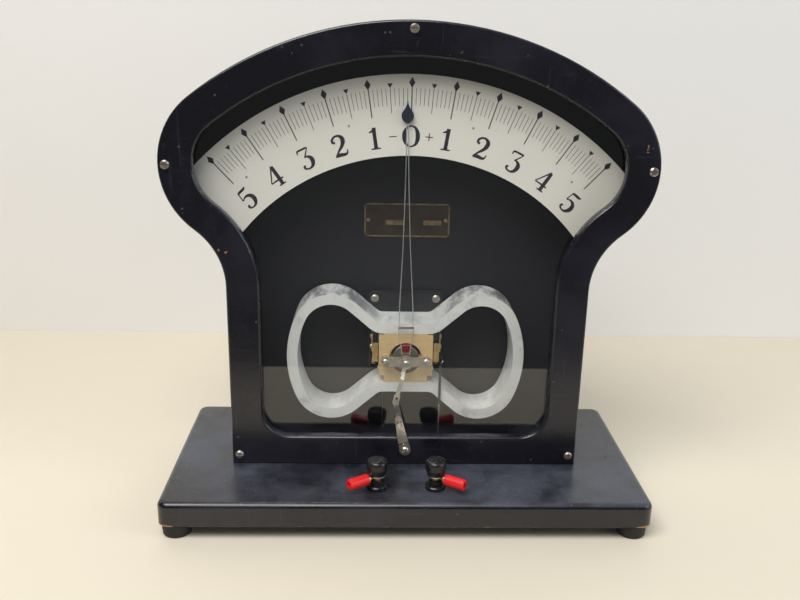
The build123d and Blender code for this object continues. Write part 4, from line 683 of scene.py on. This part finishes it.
NODE_FINISH = {
    "base lacquer": ("base_board",),
    "case lacquer": ("case_body", "bezel"),
    "panel black": ("back_panel",),
    "foot rubber": ("rubber_feet",),
    "scale cream": ("scale_plate",),
    "magnet paint": ("magnet_left", "magnet_right"),
    "black paint": ("movement_bracket", "scale_brackets"),
    "pointer black": ("pointer_tip",),
    "nickel": (
        "front_bridge", "back_bridge", "bridge_screws", "jewel_screws", "lock_nuts", "zero_arm",
        "lever_bushing", "zero_lever", "lever_fittings", "pointer_spreader", "washer_left", "washer_right",
    ),
    "screw nickel": ("bezel_screws", "magnet_screws", "movement_screws"),
    "steel": (
        "back_screws", "base_screws", "small_screws", "glass_clips", "lever_shaft", "inner_lever", "pivots",
    ),
    "brass": ("post_studs", "post_nuts", "pin_left", "pin_right", "terminal_strips", "balance_arm"),
    "plate brass": ("nameplate_screws",),
    "plate face": ("nameplate",),
    "pole tan": ("pole_pieces", "side_plates", "core_supports"),
    "soft iron": ("core",),
    "aluminium": ("coil_former", "pointer_wires", "pointer_carrier"),
    "bronze ribbon": ("front_hairspring", "back_hairspring"),
    "black moulding": ("terminal_blocks", "post_collars", "cap_left", "cap_right"),
    "red moulding": ("socket_left", "socket_right"),
    "winding": ("coil_winding",),
    "window glass": ("window_glass",),
    "lead": ("leads",),
}
MATERIALS = {}


class GALVANOMETER_OT_finishes(bpy.types.Operator):
    """Gives every piece of the frame its finish"""

    bl_idname = "galvanometer.finishes"
    bl_label = "Finish the frame"

    def execute(self, context):
        MATERIALS.update(build_materials())
        for finish, nodes in NODE_FINISH.items():
            for node in nodes:
                for slot in frame["nodes"][node].material_slots:
                    slot.material = MATERIALS[finish]
        left = set(frame["nodes"]) - {node for nodes in NODE_FINISH.values() for node in nodes}
        if left:
            raise RuntimeError(f"no finish for {sorted(left)}")
        return {"FINISHED"}


def on_dial(radius, angle):
    """A point on the front of the scale: angle is measured clockwise from the zero."""
    return Vector((radius * sin(angle), DIAL_FRONT, PIVOT_Z + radius * cos(angle)))


def lay_points(obj, points, lift, angle, radius):
    """Moves a flat object's points to places across and outwards, turned to their angle on the dial."""
    for vertex, (across, outward) in zip(obj.data.vertices, points):
        vertex.co = (across, -lift, outward)
    obj.data.transform(Matrix.Rotation(angle, 4, "Y"))
    obj.data.transform(Matrix.Translation(on_dial(radius, angle)))
    return obj


def lay_mark(outline, angle, radius):
    """A flat printed mark with a straight-sided outline, laid on the dial."""
    bpy.ops.mesh.primitive_circle_add(vertices=len(outline), radius=1.0, fill_type="NGON")
    return lay_points(bpy.context.active_object, outline, settings()[0].print_thickness, angle, radius)


def lay_tick(half_width, inner, outer, angle):
    """A straight tick between two radii."""
    reach = outer - inner
    outline = [(-half_width, 0), (half_width, 0), (half_width, reach), (-half_width, reach)]
    return lay_mark(outline, angle, inner)


def join_marks(marks, name):
    """Joins marks into one printed piece whose faces look forward."""
    pick(*marks)
    bpy.ops.object.join()
    joined = bpy.context.active_object
    inwards = (0, 2 * settings()[0].print_thickness, 0)
    bpy.ops.object.mode_set(mode="EDIT")
    bpy.ops.mesh.select_all(action="SELECT")
    bpy.ops.mesh.extrude_region_move(TRANSFORM_OT_translate={"value": inwards})
    bpy.ops.mesh.select_all(action="SELECT")
    bpy.ops.mesh.normals_make_consistent(inside=False)
    bpy.ops.object.mode_set(mode="OBJECT")
    settle(joined, name, MATERIALS["dial ink"], "frame")


class GALVANOMETER_OT_ticks(bpy.types.Operator):
    """Prints the ticks, the diamonds and the small triangles of the scale"""

    bl_idname = "galvanometer.ticks"
    bl_label = "Print the ticks"

    def execute(self, context):
        dial = settings()[0]
        steps = LAST_NUMBER * dial.divisions
        diamond = [
            (0, -DIAMOND_HALF_HEIGHT),
            (DIAMOND_HALF_WIDTH, 0),
            (0, DIAMOND_HALF_HEIGHT),
            (-DIAMOND_HALF_WIDTH, 0),
        ]
        small = []
        main = []
        for step in range(-steps, steps + 1):
            angle = dial.half_span * step / steps
            if step % dial.divisions == 0:
                main.append(lay_tick(MAIN_TICK_HALF_WIDTH, dial.main_tick_inner, dial.diamond_radius, angle))
                main.append(lay_mark(diamond, angle, dial.diamond_radius))
            elif step % dial.divisions == dial.divisions // 2:
                small.append(lay_tick(HALF_TICK_HALF_WIDTH, dial.half_tick_inner, dial.tick_outer, angle))
                small.append(lay_mark(TRIANGLE, angle, dial.tick_outer + TRIANGLE_RISE))
            else:
                small.append(lay_tick(SMALL_TICK_HALF_WIDTH, dial.tick_inner, dial.tick_outer, angle))
        join_marks(main, "dial_main_marks")
        join_marks(small, "dial_small_marks")
        return {"FINISHED"}


# Numerals: each is a few pen strokes, given as (across, up, half width) in units of the numeral's height

NUMERALS = {
    "0": [
        [(0.0, 0.97, 0.03), (-0.19, 0.88, 0.055), (-0.285, 0.68, 0.09), (-0.305, 0.5, 0.1),
         (-0.285, 0.32, 0.09), (-0.19, 0.12, 0.055), (0.0, 0.03, 0.03)],
        [(0.0, 0.97, 0.03), (0.19, 0.88, 0.055), (0.285, 0.68, 0.09), (0.305, 0.5, 0.1),
         (0.285, 0.32, 0.09), (0.19, 0.12, 0.055), (0.0, 0.03, 0.03)],
    ],
    "1": [
        [(0.0, 0.02, 0.09), (0.0, 0.3, 0.085), (0.0, 0.7, 0.085), (0.005, 0.98, 0.09)],
        [(0.04, 0.95, 0.05), (-0.1, 0.83, 0.05), (-0.24, 0.78, 0.025)],
        [(-0.22, 0.03, 0.028), (0.0, 0.035, 0.04), (0.22, 0.03, 0.028)],
    ],
    "2": [
        [(-0.27, 0.68, 0.05), (-0.26, 0.83, 0.055), (-0.12, 0.95, 0.045), (0.06, 0.95, 0.055),
         (0.19, 0.83, 0.09), (0.2, 0.66, 0.1), (0.1, 0.47, 0.075), (-0.08, 0.29, 0.05),
         (-0.22, 0.13, 0.035), (-0.3, 0.03, 0.02)],
        [(-0.27, 0.075, 0.07), (-0.08, 0.095, 0.085), (0.12, 0.07, 0.07), (0.25, 0.1, 0.045),
         (0.31, 0.27, 0.018)],
        [(-0.24, 0.64, 0.03), (-0.2, 0.69, 0.055), (-0.17, 0.74, 0.03)],
    ],
    "3": [
        [(-0.26, 0.79, 0.02), (-0.24, 0.93, 0.04), (-0.1, 0.955, 0.045), (0.14, 0.955, 0.045),
         (0.26, 0.965, 0.025)],
        [(0.25, 0.95, 0.022), (0.12, 0.76, 0.03), (-0.02, 0.58, 0.03)],
        [(-0.05, 0.575, 0.025), (0.1, 0.57, 0.05), (0.225, 0.45, 0.09), (0.24, 0.28, 0.1), (0.15, 0.1, 0.07),
         (-0.03, 0.035, 0.04), (-0.2, 0.09, 0.045), (-0.24, 0.19, 0.05)],
        [(-0.25, 0.13, 0.03), (-0.21, 0.19, 0.06), (-0.17, 0.25, 0.03)],
    ],
    "4": [
        [(0.1, 0.98, 0.05), (-0.06, 0.74, 0.035), (-0.22, 0.47, 0.03), (-0.33, 0.3, 0.025)],
        [(-0.34, 0.285, 0.03), (0.0, 0.29, 0.04), (0.3, 0.285, 0.035)],
        [(0.11, 0.02, 0.085), (0.11, 0.3, 0.085), (0.11, 0.66, 0.085), (0.11, 0.96, 0.07)],
        [(-0.06, 0.03, 0.028), (0.11, 0.035, 0.04), (0.28, 0.03, 0.028)],
    ],
    "5": [
        [(-0.19, 0.93, 0.05), (0.0, 0.94, 0.06), (0.16, 0.95, 0.055), (0.26, 1.0, 0.015)],
        [(-0.19, 0.95, 0.03), (-0.215, 0.76, 0.026), (-0.24, 0.55, 0.03)],
        [(-0.24, 0.53, 0.02), (-0.08, 0.61, 0.04), (0.1, 0.59, 0.065), (0.22, 0.46, 0.095), (0.23, 0.28, 0.1),
         (0.13, 0.1, 0.07), (-0.04, 0.035, 0.04), (-0.2, 0.09, 0.045), (-0.24, 0.19, 0.05)],
        [(-0.25, 0.13, 0.03), (-0.21, 0.19, 0.06), (-0.17, 0.25, 0.03)],
    ],
    "-": [[(-0.17, 0.5, 0.022), (0.0, 0.5, 0.022), (0.17, 0.5, 0.022)]],
    "+": [
        [(-0.17, 0.5, 0.022), (0.0, 0.5, 0.022), (0.17, 0.5, 0.022)],
        [(0.0, 0.33, 0.022), (0.0, 0.5, 0.022), (0.0, 0.67, 0.022)],
    ],
}


def curve_through(points, steps):
    """Points of a smooth curve through the given ones, so many steps to each span."""
    ends = [[2 * a - b for a, b in zip(points[0], points[1])], *points]
    ends.append([2 * a - b for a, b in zip(points[-1], points[-2])])
    curve = []
    for before, start, stop, after in zip(ends, ends[1:], ends[2:], ends[3:]):
        for step in range(steps):
            t = step / steps
            point = []
            for a, b, c, d in zip(before, start, stop, after):
                square = (2 * a - 5 * b + 4 * c - d) * t**2
                cube = (3 * b - a - 3 * c + d) * t**3
                point.append(0.5 * (2 * b + (c - a) * t + square + cube))
            curve.append(point)
    return curve + [list(points[-1])]


def pen_outline(stroke, height):
    """The right and left sides of a stroke of changing width, in metres, middle at half the height."""
    line = curve_through(stroke, STROKE_STEPS)
    left = []
    right = []
    for index, (x, y, half) in enumerate(line):
        ahead = line[min(index + 1, len(line) - 1)]
        behind = line[max(index - 1, 0)]
        along = Vector((ahead[0] - behind[0], ahead[1] - behind[1])).normalized()
        left.append(((x - along.y * half) * height, (y - 0.5 + along.x * half) * height))
        right.append(((x + along.y * half) * height, (y - 0.5 - along.x * half) * height))
    return right, left


def lay_numeral(text, place):
    """A numeral's strokes as narrow strips of faces, at a place counted in numbers from the zero."""
    dial = settings()[0]
    angle = dial.half_span * place / LAST_NUMBER
    strips = []
    for order, stroke in enumerate(NUMERALS[text]):
        right, left = pen_outline(stroke, dial.numeral_height)
        lift = dial.print_thickness + order * STROKE_LIFT
        bpy.ops.mesh.primitive_grid_add(x_subdivisions=len(right) - 1, y_subdivisions=1, size=1.0)
        strips.append(lay_points(bpy.context.active_object, right + left, lift, angle, dial.numeral_radius))
    return strips


class GALVANOMETER_OT_numerals(bpy.types.Operator):
    """Prints the numerals and the two signs of the scale"""

    bl_idname = "galvanometer.numerals"
    bl_label = "Print the numerals"

    def execute(self, context):
        strokes = []
        for number in range(-LAST_NUMBER, LAST_NUMBER + 1):
            strokes += lay_numeral(str(abs(number)), number)
        strokes += lay_numeral("-", -SIGN_PLACE)
        strokes += lay_numeral("+", SIGN_PLACE)
        join_marks(strokes, "dial_numerals")
        return {"FINISHED"}


# Lamps: where each stands, what it is aimed at, its two sides and its colour

LAMPS = {
    "key_lamp": {
        "place": (-0.5, -0.9, 1.7), "aim": (0, 0, 0.15), "size": (1.4, 1.0), "colour": (1.0, 0.98, 0.95),
    },
    "side_lamp": {
        "place": (1.5, -0.7, 0.9), "aim": (0, 0, 0.2), "size": (0.9, 1.2), "colour": (0.86, 0.92, 1.0),
    },
    "back_lamp": {
        "place": (-0.3, 1.5, 1.3), "aim": (0, 0, 0.3), "size": (1.6, 0.8), "colour": (0.9, 0.94, 1.0),
    },
}


def area_lamp(name, power, place, aim, size, colour):
    """A rectangular lamp aimed at a point."""
    bpy.ops.object.light_add(type="AREA", location=place)
    lamp = bpy.context.active_object
    lamp.name = name
    lamp.data.shape = "RECTANGLE"
    lamp.data.size, lamp.data.size_y = size
    lamp.data.energy = power
    lamp.data.color = colour
    lamp.rotation_euler = (Vector(aim) - Vector(place)).to_track_quat("-Z", "Y").to_euler()


def add_plane(name, material, place, turn):
    """A large plane of the stage."""
    bpy.ops.mesh.primitive_plane_add(size=STAGE_SIZE, location=place, rotation=turn)
    plane = bpy.context.active_object
    plane.name = name
    plane.data.materials.append(material)
    return plane


def floor_material(stage):
    """Plain pale floor with a barely uneven sheen."""
    material, net, shader, place = new_material("pale floor")
    pale = tuple(stage.floor_colour)
    tone = net.mix(net.noise(place, 3.0, 3.0), pale, tuple(0.97 * c for c in pale))
    net.feed(shader.inputs["Base Color"], tone)
    net.feed(shader.inputs["Roughness"], net.ramp(net.noise(place, 20.0, 4.0), 0.3, 0.7, 0.5, 0.6))
    return material


def backdrop_material():
    """Plain pale wall that is clear from behind."""
    material, net, shader, place = new_material("pale wall")
    tone = net.mix(net.noise(place, 2.0, 3.0), (0.9, 0.89, 0.87), (0.87, 0.86, 0.84))
    net.feed(shader.inputs["Base Color"], tone)
    net.feed(shader.inputs["Roughness"], net.ramp(net.noise(place, 12.0, 3.0), 0.3, 0.7, 0.6, 0.7))
    side = net.node("ShaderNodeNewGeometry").outputs["Backfacing"]
    return mix_with_clear(material, net, shader, side)


class GALVANOMETER_OT_stage(bpy.types.Operator):
    """Sets the floor, the lamps and the camera"""

    bl_idname = "galvanometer.stage"
    bl_label = "Set the stage"

    def execute(self, context):
        stage = settings()[2]
        scene = context.scene
        scene.view_settings.view_transform = "Standard"
        floor_place = (0, FLOOR_FRONT + STAGE_SIZE / 2, -FLOOR_DROP)
        floor = add_plane("floor", floor_material(stage), floor_place, (0, 0, 0))
        wall_place = (0, WALL_PLACE, STAGE_SIZE / 2)
        wall = add_plane("backdrop", backdrop_material(), wall_place, (pi / 2, 0, 0))
        for name, values in LAMPS.items():
            power = stage.key_power if name == "key_lamp" else stage.fill_power
            area_lamp(name, power, **values)
        self.light_world(scene)
        self.aim_camera(scene, stage)
        return {"FINISHED"}

    @staticmethod
    def light_world(scene):
        """Pale to the eye, and dim as a light and in reflections."""
        world = bpy.data.worlds.new("pale surround")
        scene.world = world
        world.use_nodes = True
        world.node_tree.nodes.clear()
        net = Net(world.node_tree)
        path = net.node("ShaderNodeLightPath")
        strength = net.blend(path.outputs["Is Camera Ray"], WORLD_LIGHT, 1.0)
        sky = net.node("ShaderNodeBackground")
        net.feed(sky.inputs["Color"], (0.93, 0.94, 0.96))
        net.feed(sky.inputs["Strength"], strength)
        leave = net.node("ShaderNodeOutputWorld")
        world.node_tree.links.new(sky.outputs[0], leave.inputs[0])

    @staticmethod
    def aim_camera(scene, stage):
        """A view from a little left of the middle, looking down on the front."""
        yaw, pitch, roll = radians(CAMERA_YAW), radians(CAMERA_PITCH), radians(CAMERA_ROLL)
        ahead = Vector((sin(yaw) * cos(pitch), cos(yaw) * cos(pitch), -sin(pitch)))
        level = Vector((cos(yaw), -sin(yaw), 0))
        upright = level.cross(ahead)
        right = cos(roll) * level + sin(roll) * upright
        up = -sin(roll) * level + cos(roll) * upright
        turn = Matrix((right, up, -ahead)).transposed().to_4x4()
        bpy.ops.object.camera_add()
        camera = bpy.context.active_object
        camera.name = "camera"
        camera.matrix_world = Matrix.Translation(CAMERA_PLACE) @ turn
        camera.data.sensor_width = 36
        camera.data.lens = stage.lens
        scene.camera = camera


class GALVANOMETER_PT_panel(bpy.types.Panel):
    """Settings and steps of the galvanometer"""

    bl_label = "Galvanometer"
    bl_idname = "GALVANOMETER_PT_panel"
    bl_space_type = "VIEW_3D"
    bl_region_type = "UI"
    bl_category = "Galvanometer"

    def draw(self, context):
        layout = self.layout
        for group in settings():
            box = layout.box()
            for name in group.__annotations__:
                box.prop(group, name)
        for step in STEPS:
            layout.operator(step.bl_idname)


SETTINGS = {
    "galvanometer_dial": GalvanometerDialSettings,
    "galvanometer_finish": GalvanometerFinishSettings,
    "galvanometer_stage": GalvanometerStageSettings,
}
STEPS = (
    GALVANOMETER_OT_finishes,
    GALVANOMETER_OT_ticks,
    GALVANOMETER_OT_numerals,
    GALVANOMETER_OT_stage,
)


def register():
    for group in SETTINGS.values():
        bpy.utils.register_class(group)
    for name, group in SETTINGS.items():
        setattr(bpy.types.Scene, name, bpy.props.PointerProperty(type=group))
    for step in STEPS:
        bpy.utils.register_class(step)
    bpy.utils.register_class(GALVANOMETER_PT_panel)


def unregister():
    bpy.utils.unregister_class(GALVANOMETER_PT_panel)
    for step in reversed(STEPS):
        bpy.utils.unregister_class(step)
    for name in SETTINGS:
        delattr(bpy.types.Scene, name)
    for group in reversed(SETTINGS.values()):
        bpy.utils.unregister_class(group)


def main():
    """Builds every piece in order."""
    register()
    bpy.ops.galvanometer.finishes()
    bpy.ops.galvanometer.ticks()
    bpy.ops.galvanometer.numerals()
    bpy.ops.galvanometer.stage()
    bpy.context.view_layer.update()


if __name__ == "__main__":
    main()
